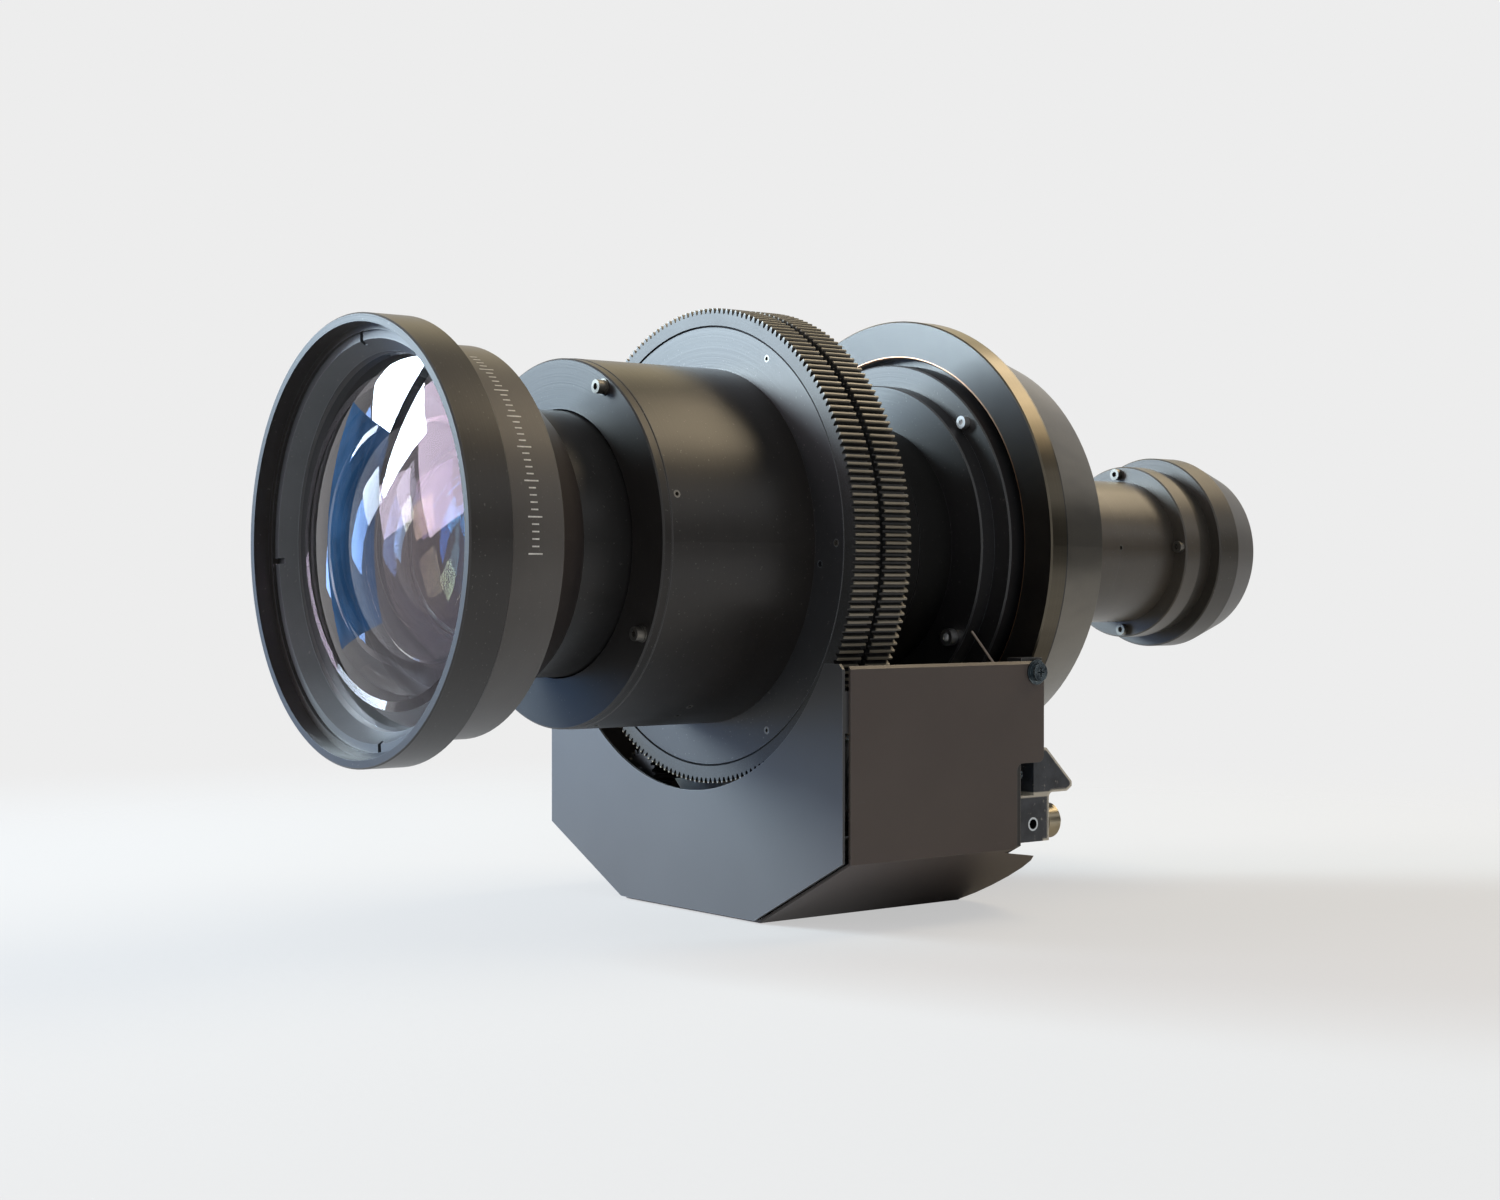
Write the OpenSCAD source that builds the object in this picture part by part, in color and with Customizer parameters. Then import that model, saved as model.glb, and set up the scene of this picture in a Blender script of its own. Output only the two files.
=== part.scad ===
// Motorised zoom projection lens.
// The optical axis is the Y axis and the front element looks towards -Y.
// The origin lies on the optical axis in the plane of the flange seat.
// Turned parts are outlines of [radius, station], a station being a distance along Y.

/* [Layout along the axis] */
// Front face of the focus ring to the flange seat
ring_to_seat = 115.2; // [114:0.2:125]
// Length of the main barrel in front of the focus ring
barrel_len = 73.8; // [72:0.2:90]
// Neck that shows between the main barrel and the front cell
neck_show = 24.1; // [16:0.1:40]
// Length of the tapered front cell
cell_len = 21.3; // [20:0.1:30]
// Length of the name ring
name_ring_len = 27.8; // [26:0.1:40]
// Length of the front hood
hood_len = 18.2; // [16.5:0.1:26]

/* [Front group] */
// Outer radius of the front hood
hood_r = 86; // [84.5:0.5:92]
// Radius of the hood's open bore
hood_bore_r = 82.6; // [81.5:0.1:83.6]
// Outer radius of the name ring
name_ring_r = 76.5; // [76:0.1:77.5]
// Radius of the thread that holds the glass retaining ring
retainer_r = 80; // [79:0.1:81]
// Rim radius of the front element
front_glass_r = 74; // [73:0.1:74.6]
// Radius of curvature of the front element's outer face
front_glass_bulge = 200; // [190:5:320]
// Radius of the rear end of the front cell's cone
cell_rear_r = 56.8; // [55:0.1:62]
// Outer radius of the neck
neck_r = 53.5; // [51:0.1:54]
// Focus travel each way
focus_travel = 5; // [3:0.5:5.5]
// Turn of the focus ring each way, in degrees
focus_turn = 30; // [26:1:40]

/* [Fixed barrels] */
// Outer radius of the main barrel
barrel_r = 74.7; // [73:0.1:78]
// Wall of the main barrel
barrel_wall = 8.7; // [7.5:0.1:10]
// Thickness of the barrel's front plate
front_plate_t = 3.8; // [2.5:0.1:5]
// Bore of the core tube
core_bore_r = 46; // [45.5:0.1:46.4]
// Wall of the core tube
core_wall = 3; // [2.6:0.1:3.4]
// Wall of each cam sleeve
sleeve_wall = 3.3; // [2.4:0.1:3.4]
// Radius of the cover disc
cover_disc_r = 92.5; // [91:0.1:94]
// Thickness of the cover disc
cover_disc_t = 2.8; // [2:0.1:3]

/* [Toothed rings and drives] */
// Size of the gear teeth: pitch diameter over the number of teeth
tooth_size = 1; // [0.98:0.005:1.01]
// Teeth on each ring
ring_teeth = 198; // [196:2:200]
// Teeth on each motor pinion
pinion_teeth = 20; // [18:2:22]
// Width of the focus ring's teeth
focus_ring_w = 12; // [11.6:0.1:13]
// Width of the zoom ring's teeth
zoom_ring_w = 13; // [12:0.1:14]
// Space between the two rings
ring_space = 3.5; // [3:0.1:4]
// Turn of the zoom ring each way, in degrees
zoom_turn = 40; // [34:1:44]
// Travel of the front zoom group each way
zoom_a_travel = 9; // [6:0.5:9.5]
// Travel of the rear zoom group each way
zoom_b_travel = 5; // [4:0.5:5.5]
// Radius of each drive motor's gearbox
motor_r = 16; // [14:0.5:17]
// Length of each drive motor behind its plate
motor_len = 38; // [34:1:39]

/* [Flange and rear barrel] */
// Outer radius of the flange rim
flange_r = 102.2; // [101:0.1:106]
// Thickness of the flange rim
flange_rim_t = 9.7; // [9:0.1:12]
// Width of the seat face outside the cone
seat_w = 3.7; // [3:0.1:5]
// Drop of the seat cone in radius over its length
cone_drop = 10.5; // [6:0.1:14]
// Distance from the seat to the back of the flange
flange_back = 36.1; // [34:0.1:44]
// Radius of the rear tube
rear_tube_r = 34.5; // [33.5:0.1:36]
// Length of the rear tube behind the flange
rear_tube_len = 108.2; // [100:0.2:130]
// Radius of the rear collar
collar_r = 42; // [41.5:0.1:44]
// Thickness of the rear collar
collar_t = 10.5; // [8:0.1:14]
// Gap between the rear collar and the rear cap
cap_gap = 8.5; // [6:0.1:12]
// Radius of the rear cap
cap_r = 46.8; // [45.8:0.1:50]
// Length of the rear cap's straight part
cap_len = 13.5; // [10:0.1:18]
// Length of the rear cap's taper
cap_taper_len = 19; // [17:0.1:24]

/* [Drive housing] */
// Half width of the housing over its cover
housing_half_w = 103; // [102.8:0.1:106]
// Height of the housing's top edge, below the axis
housing_top = 47; // [45:0.5:49]
// Height at which the corners are cut off, below the axis
housing_knee = 124.7; // [124:0.5:128]
// Height of the housing's bottom, below the axis
housing_bottom = 153.4; // [152.5:0.5:160]
// Half width of the flat bottom
housing_base_half = 47; // [44:0.5:52]
// Thickness of the sheet metal
sheet_t = 1.2; // [0.8:0.1:1.6]
// How far the front sheet stands in front of the focus ring
front_sheet_lead = 8.8; // [6.5:0.1:12]
// Radius of the round cut-out in the front sheet
sheet_cut_r = 102.4; // [102:0.1:104]

/* [Guide bracket] */
// Radius of the guide pin
guide_pin_r = 7.4; // [6:0.1:7.6]
// Length of the guide pin that stands out
guide_pin_len = 11; // [9:0.5:14]
// Radius of the threaded side hole
side_hole_r = 2; // [1.5:0.1:2.4]

/* [Hidden] */
$fn = 96;
small_fn = 32;

// Clearances shared by all parts
run_gap = 0.05;      // radial clearance of parts that turn or slide on each other
slot_gap = 0.15;     // clearance of a follower pin in its slots
free_gap = 0.3;      // clearance of faces that pass without touching
overrun = 1;         // how far a cut runs past the face that it opens
edge = 0.6;          // chamfer on turned edges

// Stations of the faces that set the layout, from front to back
ring_y = -ring_to_seat;
barrel_y = ring_y - barrel_len;
neck_y = barrel_y - neck_show;
cell_y = neck_y - cell_len;
name_y = cell_y - name_ring_len;
hood_y = name_y - hood_len;
focus_end = ring_y + focus_ring_w;
zoom_y = focus_end + ring_space;
zoom_end = zoom_y + zoom_ring_w;

// Screws: heads and sockets are shares of the thread radius
small_thread_r = 1.5;
large_thread_r = 2;
head_r_share = 1.83;
head_h_share = 1.9;
socket_r_share = 0.96;
socket_depth_share = 1.1;
grub_socket_share = 0.6;
grub_depth_share = 0.5;
washer_r_share = 2.2;
washer_t_share = 0.45;

// Places a child at an angle round the axis, counted from +X towards +Z
module at_angle(angle, radius = 0, station = 0)
  rotate([0, -angle, 0]) translate([radius, station, 0]) children();

module round_axis(count, first, radius = 0, station = 0)
  for (i = [0:count - 1]) at_angle(first + i * 360 / count, radius, station) children();

module along_axis(station = 0)
  translate([0, station, 0]) rotate([-90, 0, 0]) children();

// A body of revolution from an outline of [radius, station] points
module turned(outline) rotate([-90, 0, 0]) rotate_extrude() polygon(outline);

module tube(r_out, r_in, from, to)
  turned([[r_in, from], [r_out, from], [r_out, to], [r_in, to]]);

module rod(radius, from, to) along_axis(from) cylinder(r = radius, h = to - from, $fn = small_fn);
module rod_wide(radius, from, to) along_axis(from) cylinder(r = radius, h = to - from);

// A socket cap screw along Y: the head stands in front of the station, towards -Y,
// and the shank runs behind it
module cap_screw(thread_r, shank) rotate([-90, 0, 0]) difference() {
  union() {
    translate([0, 0, -thread_r * head_h_share])
      cylinder(r = thread_r * head_r_share, h = thread_r * head_h_share, $fn = small_fn);
    cylinder(r = thread_r, h = shank, $fn = small_fn);
  }
  translate([0, 0, -thread_r * head_h_share - overrun])
    cylinder(r = thread_r * socket_r_share, h = overrun + thread_r * socket_depth_share, $fn = 6);
}

// A headless screw along Y, flush with the station
module grub_screw(thread_r, depth) rotate([-90, 0, 0]) difference() {
  cylinder(r = thread_r, h = depth, $fn = small_fn);
  translate([0, 0, -overrun])
    cylinder(r = thread_r * grub_socket_share, h = overrun + depth * grub_depth_share, $fn = 6);
}

// Turns a screw that was made along Y so that it points at the axis
module inwards() rotate([0, 0, 90]) children();

// Drop of a spherical face of a given radius at a given height
function sag(bulge, height) = bulge - sqrt(bulge * bulge - height * height);

// A glass between two stations. A face with a positive bulge is convex, one with a negative
// bulge is hollowed out to the clear radius.
glass_fn = 160;
module glass(rim_r, from, to, front_bulge, rear_bulge, clear_r) difference() {
  intersection() {
    along_axis(from) cylinder(r = rim_r, h = to - from, $fn = glass_fn);
    if (front_bulge > 0) translate([0, from + front_bulge, 0]) sphere(r = front_bulge, $fn = glass_fn);
    if (rear_bulge > 0) translate([0, to - rear_bulge, 0]) sphere(r = rear_bulge, $fn = glass_fn);
  }
  if (rear_bulge < 0) translate([0, to + sqrt(pow(rear_bulge, 2) - pow(clear_r, 2)), 0])
    sphere(r = -rear_bulge, $fn = glass_fn);
}

// Gears: involute flanks for a pressure angle of 20 degrees
pressure_angle = 20;
tooth_play = 0.1;    // how much each gear's teeth are thinned
root_share = 1.25;
ring_pitch_r = tooth_size * ring_teeth / 2;
ring_tip_r = ring_pitch_r + tooth_size;
ring_root_r = ring_pitch_r - root_share * tooth_size;
pinion_pitch_r = tooth_size * pinion_teeth / 2;
pinion_tip_r = pinion_pitch_r + tooth_size;
pinion_base_r = pinion_pitch_r * cos(pressure_angle);
pinion_root_r = pinion_pitch_r - root_share * tooth_size;
drive_r = ring_pitch_r + pinion_pitch_r;
tooth_step = 360 / ring_teeth;
drive_steps = 36;    // whole teeth between the +X side and the zoom drive
zoom_drive_angle = -drive_steps * tooth_step;
focus_drive_angle = 180 + drive_steps * tooth_step;

function roll(r, base_r) = sqrt(max(0, pow(r / base_r, 2) - 1));
function involute(r, base_r) = roll(r, base_r) * 180 / PI - atan(roll(r, base_r));
function half_tooth(r, pitch_r) = (PI * tooth_size / 2 - tooth_play) / 2 / pitch_r * 180 / PI
  + involute(pitch_r, pitch_r * cos(pressure_angle)) - involute(r, pitch_r * cos(pressure_angle));
function polar(r, a) = [r * cos(a), r * sin(a)];
function gear_outline(teeth, radii, pitch_r) = [for (t = [0:teeth - 1]) each concat(
  [for (r = radii) polar(r, t * 360 / teeth - half_tooth(r, pitch_r))],
  [for (i = [len(radii) - 1:-1:0]) polar(radii[i], t * 360 / teeth + half_tooth(radii[i], pitch_r))])];

/* Core tube, cam sleeves and follower pins */
core_r = core_bore_r + core_wall;
cell_r = core_bore_r - run_gap;
sleeve_bore_r = core_r + run_gap;
sleeve_r = sleeve_bore_r + sleeve_wall;
pin_r = 2.5;
pin_tip_r = sleeve_r - free_gap;
slot_half = pin_r + slot_gap;
follower_count = 3;
follower_angle = 90;

module each_follower() round_axis(follower_count, follower_angle) children();

// Straight guide slots, open through the core tube
module guide_slots(station, travel) each_follower() {
  for (end = [-travel, travel]) translate([0, station + end, 0]) rotate([0, 90, 0])
    cylinder(r = slot_half, h = core_r + overrun, $fn = small_fn);
  translate([0, station - travel, -slot_half]) cube([core_r + overrun, 2 * travel, 2 * slot_half]);
}

// Helical cam slots: a turn of the sleeve moves the pins by the travel, forwards if dir is -1
cam_slices = 24;
cam_fn = 8;
module cam_slots(station, travel, turn, dir) {
  lead_angle = atan(travel / (turn * PI / 180 * sleeve_bore_r));
  half_w = slot_half / sin(lead_angle) / sleeve_bore_r * 180 / PI;
  half_h = travel + slot_half;
  twist_all = dir * 2 * half_h * turn / travel;
  inner = sleeve_bore_r - 2 * core_wall;
  outer = sleeve_r + core_wall;
  each_follower() at_angle(-twist_all / 2) along_axis(station - half_h)
    linear_extrude(height = 2 * half_h, twist = twist_all, slices = cam_slices, $fn = cam_fn)
      polygon([polar(inner, -half_w), polar(outer, -half_w), polar(outer, 0),
        polar(outer, half_w), polar(inner, half_w)]);
}

module follower_pins(station, from_r) each_follower() translate([from_r, station, 0])
  rotate([0, 90, 0]) cylinder(r = pin_r, h = pin_tip_r - from_r, $fn = small_fn);

/* Front group, which slides to focus */
hood_step = 6.7;          // depth of the hood's open bore
retainer_depth = 8.2;     // depth of the retaining ring's face in the hood
glass_depth = 14.7;       // depth of the front element's edge in the hood
glass_gap = 0.2;          // radial clearance round a glass
glass_rim_t = 12.2;       // length of the front element's rim behind its edge
name_wall = 6.5;          // wall of the name ring behind the front element
retainer_lip = 1.5;       // how far a ring or lip reaches over a glass
retainer_taper = 3.2;     // wall of the glass retaining ring at its front
spanner_slot_w = 2.4;
spanner_slot_depth = 2;
spanner_slot_angle = 5;
glass_y = hood_y + glass_depth;
shoulder_y = glass_y + glass_rim_t;
name_bore_r = name_ring_r - name_wall;
front_lip_r = front_glass_r - retainer_lip;
front_apex_y = glass_y - sag(front_glass_bulge, front_lip_r);
front_clear_r = 58;
front_hollow = 95;

module front_hood() color("#2b2b2e") turned([
  [hood_bore_r, hood_y], [hood_r - edge, hood_y], [hood_r, hood_y + edge],
  [hood_r, name_y - edge], [hood_r - edge, name_y], [name_ring_r, name_y],
  [name_ring_r, glass_y], [retainer_r, glass_y], [retainer_r, hood_y + hood_step],
  [hood_bore_r, hood_y + hood_step]]);

module glass_retaining_ring() color("#77808c") difference() {
  turned([[retainer_r - retainer_taper, hood_y + retainer_depth], [retainer_r, hood_y + retainer_depth],
    [retainer_r, glass_y], [front_lip_r, glass_y]]);
  round_axis(4, spanner_slot_angle, 0, hood_y + retainer_depth - overrun)
    translate([front_lip_r, 0, -spanner_slot_w / 2])
      cube([retainer_r, spanner_slot_depth + overrun, spanner_slot_w]);
}

module name_ring() color("#303033") turned([
  [front_glass_r + glass_gap, glass_y], [name_ring_r, glass_y], [name_ring_r, cell_y - edge],
  [name_ring_r - edge, cell_y], [name_bore_r, cell_y], [name_bore_r, shoulder_y],
  [front_glass_r + glass_gap, shoulder_y]]);

module front_element() color("#cfe0ee", 0.4)
  glass(front_glass_r, front_apex_y, shoulder_y, front_glass_bulge, -front_hollow, front_clear_r);

second_r = 60;
second_bulge = 130;
second_hollow = 80;
second_clear_r = 46;
second_depth = 22.5;      // length of the second element over its curves
second_inset = 1.2;       // how far it reaches behind the front of the cell's cone
second_lip_r = second_r - retainer_lip;
second_back_y = cell_y + second_inset;
second_apex_y = second_back_y - second_depth;
spacer_back_y = second_apex_y + sag(second_bulge, second_lip_r);
spacer_front_r = 62;

module front_spacer() color("#2a2624") turned([
  [spacer_front_r, shoulder_y], [name_bore_r, shoulder_y], [name_bore_r, spacer_back_y],
  [second_lip_r, spacer_back_y]]);

module second_element() color("#d8e4ec", 0.4)
  glass(second_r, second_apex_y, second_back_y, second_bulge, -second_hollow, second_clear_r);

cell_step = 3.1;          // step from the name ring down to the cell's cone
cell_bore_r = 47;
module front_cell() color("#29292c") turned([
  [second_r + glass_gap, spacer_back_y], [name_bore_r, spacer_back_y], [name_bore_r, cell_y],
  [name_ring_r - cell_step, cell_y], [cell_rear_r, neck_y], [cell_bore_r, neck_y],
  [cell_bore_r, second_back_y], [second_r + glass_gap, second_back_y]]);

third_r = 44;
third_bulge = 120;
third_back_bulge = 200;
third_lip_r = 41;
third_rim_t = 6;
third_lead = 6.5;         // how far the third element stands in front of the neck
third_apex_y = neck_y - third_lead;
third_back_y = third_apex_y + sag(third_bulge, third_r) + third_rim_t + sag(third_back_bulge, third_r);
third_seat_y = third_back_y - sag(third_back_bulge, third_lip_r);
neck_step = 9;            // how far the wide neck reaches into the barrel
neck_end_lead = 10;       // distance of the neck's rear end in front of the focus ring
focus_pin_lead = 26;      // distance of the focus pins in front of the focus ring
neck_step_y = barrel_y + neck_step;
neck_end_y = ring_y - neck_end_lead;
focus_pin_y = ring_y - focus_pin_lead;

module third_element() color("#d8e4ec", 0.4)
  glass(third_r, third_apex_y, third_back_y, third_bulge, third_back_bulge, third_lip_r);

module neck_tube() color("#2c2c2f") difference() {
  turned([[third_r + glass_gap, neck_y], [neck_r, neck_y], [neck_r, neck_step_y],
    [cell_r, neck_step_y], [cell_r, neck_end_y], [third_lip_r, neck_end_y],
    [third_lip_r, third_seat_y], [third_r + glass_gap, third_seat_y]]);
  follower_pins(focus_pin_y, third_lip_r - overrun);
}

module focus_followers() color("#c9a24b") follower_pins(focus_pin_y, third_lip_r);

/* Fixed barrels round the core tube */
web_inset = 14.5;         // distance of the barrel's inner web behind its front face
web_t = 6;                // thickness of that web
neck_clearance = 0.7;     // gap round the neck in the front plate
barrel_screw_inset = 4.6; // distance of the front plate's screws from its edge
barrel_screw_angle = 60;
barrel_screw_depth = 10;
plate_step = 0.2;         // the front plate is a little smaller than the barrel
barrel_bore_r = barrel_r - barrel_wall;
plate_back_y = barrel_y + front_plate_t;
web_y = barrel_y + web_inset;
cover_gap = 0.3;          // gap between the cover disc and the focus ring
cover_y = ring_y + cover_gap;
cover_back_y = cover_y + cover_disc_t;
hub_disc_y = -21.5;       // front face of the hub disc
hub_ring_y = -14;         // front face of the hub ring
hub_back_y = -3.2;        // back face of the hub ring
sleeve_end_gap = 1.3;     // gap between the zoom sleeve and the hub disc
zoom_a_back = 70.2;       // follower pins of the front zoom group, in front of the seat
zoom_b_back = 34.2;       // follower pins of the rear zoom group, in front of the seat
zoom_a_pin_y = -zoom_a_back;
zoom_b_pin_y = -zoom_b_back;

module barrel_screw_places(station) round_axis(4, barrel_screw_angle,
  barrel_r - barrel_screw_inset, station) children();

module core_tube() color("#55555a") difference() {
  tube(core_r, core_bore_r, web_y, hub_back_y);
  guide_slots(focus_pin_y, focus_travel);
  guide_slots(zoom_a_pin_y, zoom_a_travel);
  guide_slots(zoom_b_pin_y, zoom_b_travel);
}

module barrel_front_plate() color("#2e2e31") difference() {
  turned([[neck_r + neck_clearance, barrel_y], [barrel_r - plate_step - edge, barrel_y],
    [barrel_r - plate_step, barrel_y + edge], [barrel_r - plate_step, plate_back_y],
    [neck_r + neck_clearance, plate_back_y]]);
  barrel_screw_places(barrel_y - overrun) rod(small_thread_r, 0, front_plate_t + 2 * overrun);
}

// Radial grub screws: [angle, distance behind the barrel's front face]
grub_places = [[14, 7.7], [104, 7.7], [194, 7.7], [284, 7.7], [-68, 40.6], [-61, 40.6]];
grub_depth = 4;
rear_grub_lead = 37.8;    // the rear tube's screw, in front of the collar
rear_grub_angle = 2;

module barrel_grub_holes() for (g = grub_places)
  at_angle(g[0], barrel_r - grub_depth, barrel_y + g[1]) rotate([0, 90, 0])
    cylinder(r = small_thread_r, h = grub_depth + overrun, $fn = small_fn);

module main_barrel() color("#333336") difference() {
  turned([[barrel_bore_r, plate_back_y], [barrel_r - edge, plate_back_y], [barrel_r,
    plate_back_y + edge],
    [barrel_r, cover_y], [barrel_bore_r, cover_y], [barrel_bore_r, web_y + web_t],
    [core_r, web_y + web_t], [core_r, web_y], [barrel_bore_r, web_y]]);
  barrel_screw_places(plate_back_y - overrun) rod(small_thread_r, 0,
    barrel_screw_depth + overrun - front_plate_t);
  barrel_grub_holes();
}

washer_t = small_thread_r * washer_t_share;
module barrel_cap_screws() color("#6a665e") {
  barrel_screw_places(barrel_y - 2 * washer_t) cap_screw(small_thread_r,
    barrel_screw_depth + 2 * washer_t);
  for (i = [1, 2]) barrel_screw_places(barrel_y - i * washer_t)
    tube(small_thread_r * (washer_r_share + (1 - i) * free_gap), small_thread_r, 0, washer_t);
}

module barrel_grub_screws() color("#4a4a4c") {
  for (g = grub_places) at_angle(g[0], barrel_r, barrel_y + g[1]) inwards()
    grub_screw(small_thread_r, grub_depth);
  at_angle(rear_grub_angle, rear_tube_r, collar_y - rear_grub_lead) inwards()
    grub_screw(small_thread_r, rear_grub_depth);
}

disc_screw_inset = 5.1;
disc_screw_count = 6;
disc_screw_angle = 0;
disc_screw_depth = 2;
disc_screw_r = cover_disc_r - disc_screw_inset;
disc_hole_r = 1.3;
disc_hole_angle = -6;
disc_hole_place_r = barrel_r + 2.5 * disc_hole_r;

module cover_disc() color("#37383c") difference() {
  turned([[barrel_bore_r, cover_y], [cover_disc_r - edge, cover_y], [cover_disc_r, cover_y + edge],
    [cover_disc_r, cover_back_y], [barrel_bore_r, cover_back_y]]);
  round_axis(disc_screw_count, disc_screw_angle, disc_screw_r, cover_y - overrun)
    rod(small_thread_r, 0, overrun + disc_screw_depth);
  at_angle(disc_hole_angle, disc_hole_place_r, cover_y - overrun) rod(disc_hole_r, 0,
    overrun + disc_screw_depth);
}

module cover_disc_screws() color("#8e9398")
  round_axis(disc_screw_count, disc_screw_angle, disc_screw_r, cover_y) grub_screw(small_thread_r,
    disc_screw_depth);

// The plate between the rings, with a fine serrated edge
divider_tip_drop = 2.8;
divider_root_drop = 3.6;
module divider_ring() color("#151517") along_axis(focus_end + free_gap)
  linear_extrude(height = ring_space - 2 * free_gap) difference() {
    polygon([for (t = [0:ring_teeth - 1]) for (p = [[ring_tip_r - divider_root_drop, t - 0.5],
      [ring_tip_r - divider_tip_drop, t]]) polar(p[0], p[1] * tooth_step)]);
    circle(r = core_r);
  }

core_cover_gap = 0.65;
core_cover_wall = 1.2;
core_cover_lead = 2.5;    // gap between the zoom ring and the core cover
core_cover_groove = 0.5;
core_cover_r = sleeve_r + core_cover_gap + core_cover_wall;
core_groove_lead = 18.6;  // distance of its groove from the hub disc
core_groove_y = hub_disc_y - core_groove_lead;
module core_cover() color("#232326") turned([
  [sleeve_r + core_cover_gap, zoom_end + core_cover_lead], [core_cover_r, zoom_end + core_cover_lead],
  [core_cover_r, core_groove_y], [core_cover_r - core_cover_groove, core_groove_y],
  [core_cover_r - core_cover_groove, core_groove_y + core_cover_groove],
  [core_cover_r, core_groove_y + core_cover_groove], [core_cover_r, hub_disc_y],
  [sleeve_r + core_cover_gap, hub_disc_y]]);

/* Toothed rings with their cam sleeves */
ring_web_t = 3;           // web of a gear ring
ring_web_r = 62;          // bore of that web
flange_web_r = 74;        // flange of a cam sleeve
flange_web_t = 4.6;
rim_depth = 12;           // depth of a gear rim below the roots
ring_screw_r = 68;
ring_screw_count = 6;
focus_sleeve_lead = 50;
zoom_web_lead = 1.5;
rim_r = ring_root_r - rim_depth;
focus_web_y = focus_end - flange_web_t - ring_web_t;
zoom_web_y = zoom_y + zoom_web_lead;

module ring_screw_places(station) round_axis(ring_screw_count, 0, ring_screw_r, station) children();

// A gear ring: a toothed rim, and a web that is screwed to the cam sleeve's flange
module gear_ring(from, width, web_from) {
  difference() {
    along_axis(from) linear_extrude(height = width) difference() {
      polygon(gear_outline(ring_teeth, [ring_root_r, ring_tip_r], ring_pitch_r));
      circle(r = rim_r);
    }
    children();
  }
  difference() {
    tube(rim_r, ring_web_r, web_from, web_from + ring_web_t);
    ring_screw_places(web_from - overrun) rod(small_thread_r, 0, ring_web_t + 2 * overrun);
  }
}

module cam_sleeve(from, to, flange_from) difference() {
  turned([[sleeve_bore_r, from], [sleeve_r, from], [sleeve_r, flange_from], [flange_web_r, flange_from],
    [flange_web_r, flange_from + flange_web_t], [sleeve_r, flange_from + flange_web_t], [sleeve_r, to],
    [sleeve_bore_r, to]]);
  ring_screw_places(flange_from - overrun) {
    rod(small_thread_r, 0, flange_web_t + 2 * overrun);
    rod(small_thread_r * head_r_share + free_gap,
      overrun + flange_web_t - small_thread_r * head_h_share,
      flange_web_t + 2 * overrun);
  }
  children();
}

module ring_screws(flange_from)
  ring_screw_places(flange_from + flange_web_t - small_thread_r * head_h_share) mirror([0, 1, 0])
    cap_screw(small_thread_r, flange_web_t - small_thread_r * head_h_share + ring_web_t);

module focus_gear_ring() color("#3a3a3c") gear_ring(ring_y, focus_ring_w, focus_web_y)
  rod_wide(cover_disc_r + cover_gap, ring_y - overrun, cover_back_y + cover_gap);

module focus_cam_sleeve() color("#6f6f74")
  cam_sleeve(ring_y - focus_sleeve_lead, focus_end, focus_web_y + ring_web_t)
    cam_slots(focus_pin_y, focus_travel, focus_turn, 1);

module focus_ring_screws() color("#8d8d90") ring_screws(focus_web_y + ring_web_t);

module zoom_gear_ring() color("#3a3a3c") gear_ring(zoom_y, zoom_ring_w, zoom_web_y);

module zoom_cam_sleeve() color("#6f6f74")
  cam_sleeve(zoom_y, hub_disc_y - sleeve_end_gap, zoom_web_y + ring_web_t) {
    cam_slots(zoom_a_pin_y, zoom_a_travel, zoom_turn, 1);
    cam_slots(zoom_b_pin_y, zoom_b_travel, zoom_turn, -1);
  }

module zoom_ring_screws() color("#8d8d90") ring_screws(zoom_web_y + ring_web_t);

/* Zoom groups, which slide in the core tube */
zoom_glass_r = 38;
zoom_lip_r = 36;
zoom_retainer_t = 3;
zoom_a_lead = 13;         // cell in front of and behind its pins
zoom_a_tail = 13;
zoom_a_bulge = 90;
zoom_a_back_bulge = 140;
zoom_a_rim_t = 5;
zoom_b_lead = 7;
zoom_b_tail = 15;
zoom_b_bulge = 110;
zoom_b_back_bulge = 95;
zoom_b_rim_t = 5;
lip_t = 2;

// Apex of a convex glass whose back face rests on a lip that ends at the given station
function apex_on(lip_end, front_bulge, rim, back_bulge, rim_r, lip_r) = lip_end
  - sag(front_bulge, rim_r) - rim - sag(back_bulge, rim_r) + sag(back_bulge, lip_r);

// A cell that slides in the core tube, with a lip behind its glass
module sliding_cell(pins, lead, tail) difference() {
  turned([[zoom_glass_r + glass_gap, pins - lead], [cell_r, pins - lead], [cell_r, pins + tail],
    [zoom_lip_r, pins + tail], [zoom_lip_r, pins + tail - lip_t], [zoom_glass_r + glass_gap,
      pins + tail - lip_t]]);
  follower_pins(pins, zoom_glass_r);
}

// The glass of a sliding cell, and the ring that holds it from the front
module cell_glass(pins, tail, front_bulge, rim, back_bulge) {
  seat = pins + tail - lip_t;
  apex = apex_on(seat, front_bulge, rim, back_bulge, zoom_glass_r, zoom_lip_r);
  glass(zoom_glass_r, apex, seat + sag(back_bulge, zoom_lip_r), front_bulge, back_bulge, zoom_lip_r);
}

module cell_retainer(pins, tail, front_bulge, rim, back_bulge) {
  seat = pins + tail - lip_t;
  apex = apex_on(seat, front_bulge, rim, back_bulge, zoom_glass_r, zoom_lip_r);
  face = apex + sag(front_bulge, zoom_lip_r);
  tube(zoom_glass_r + glass_gap, zoom_lip_r, face - zoom_retainer_t, face);
}

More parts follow.
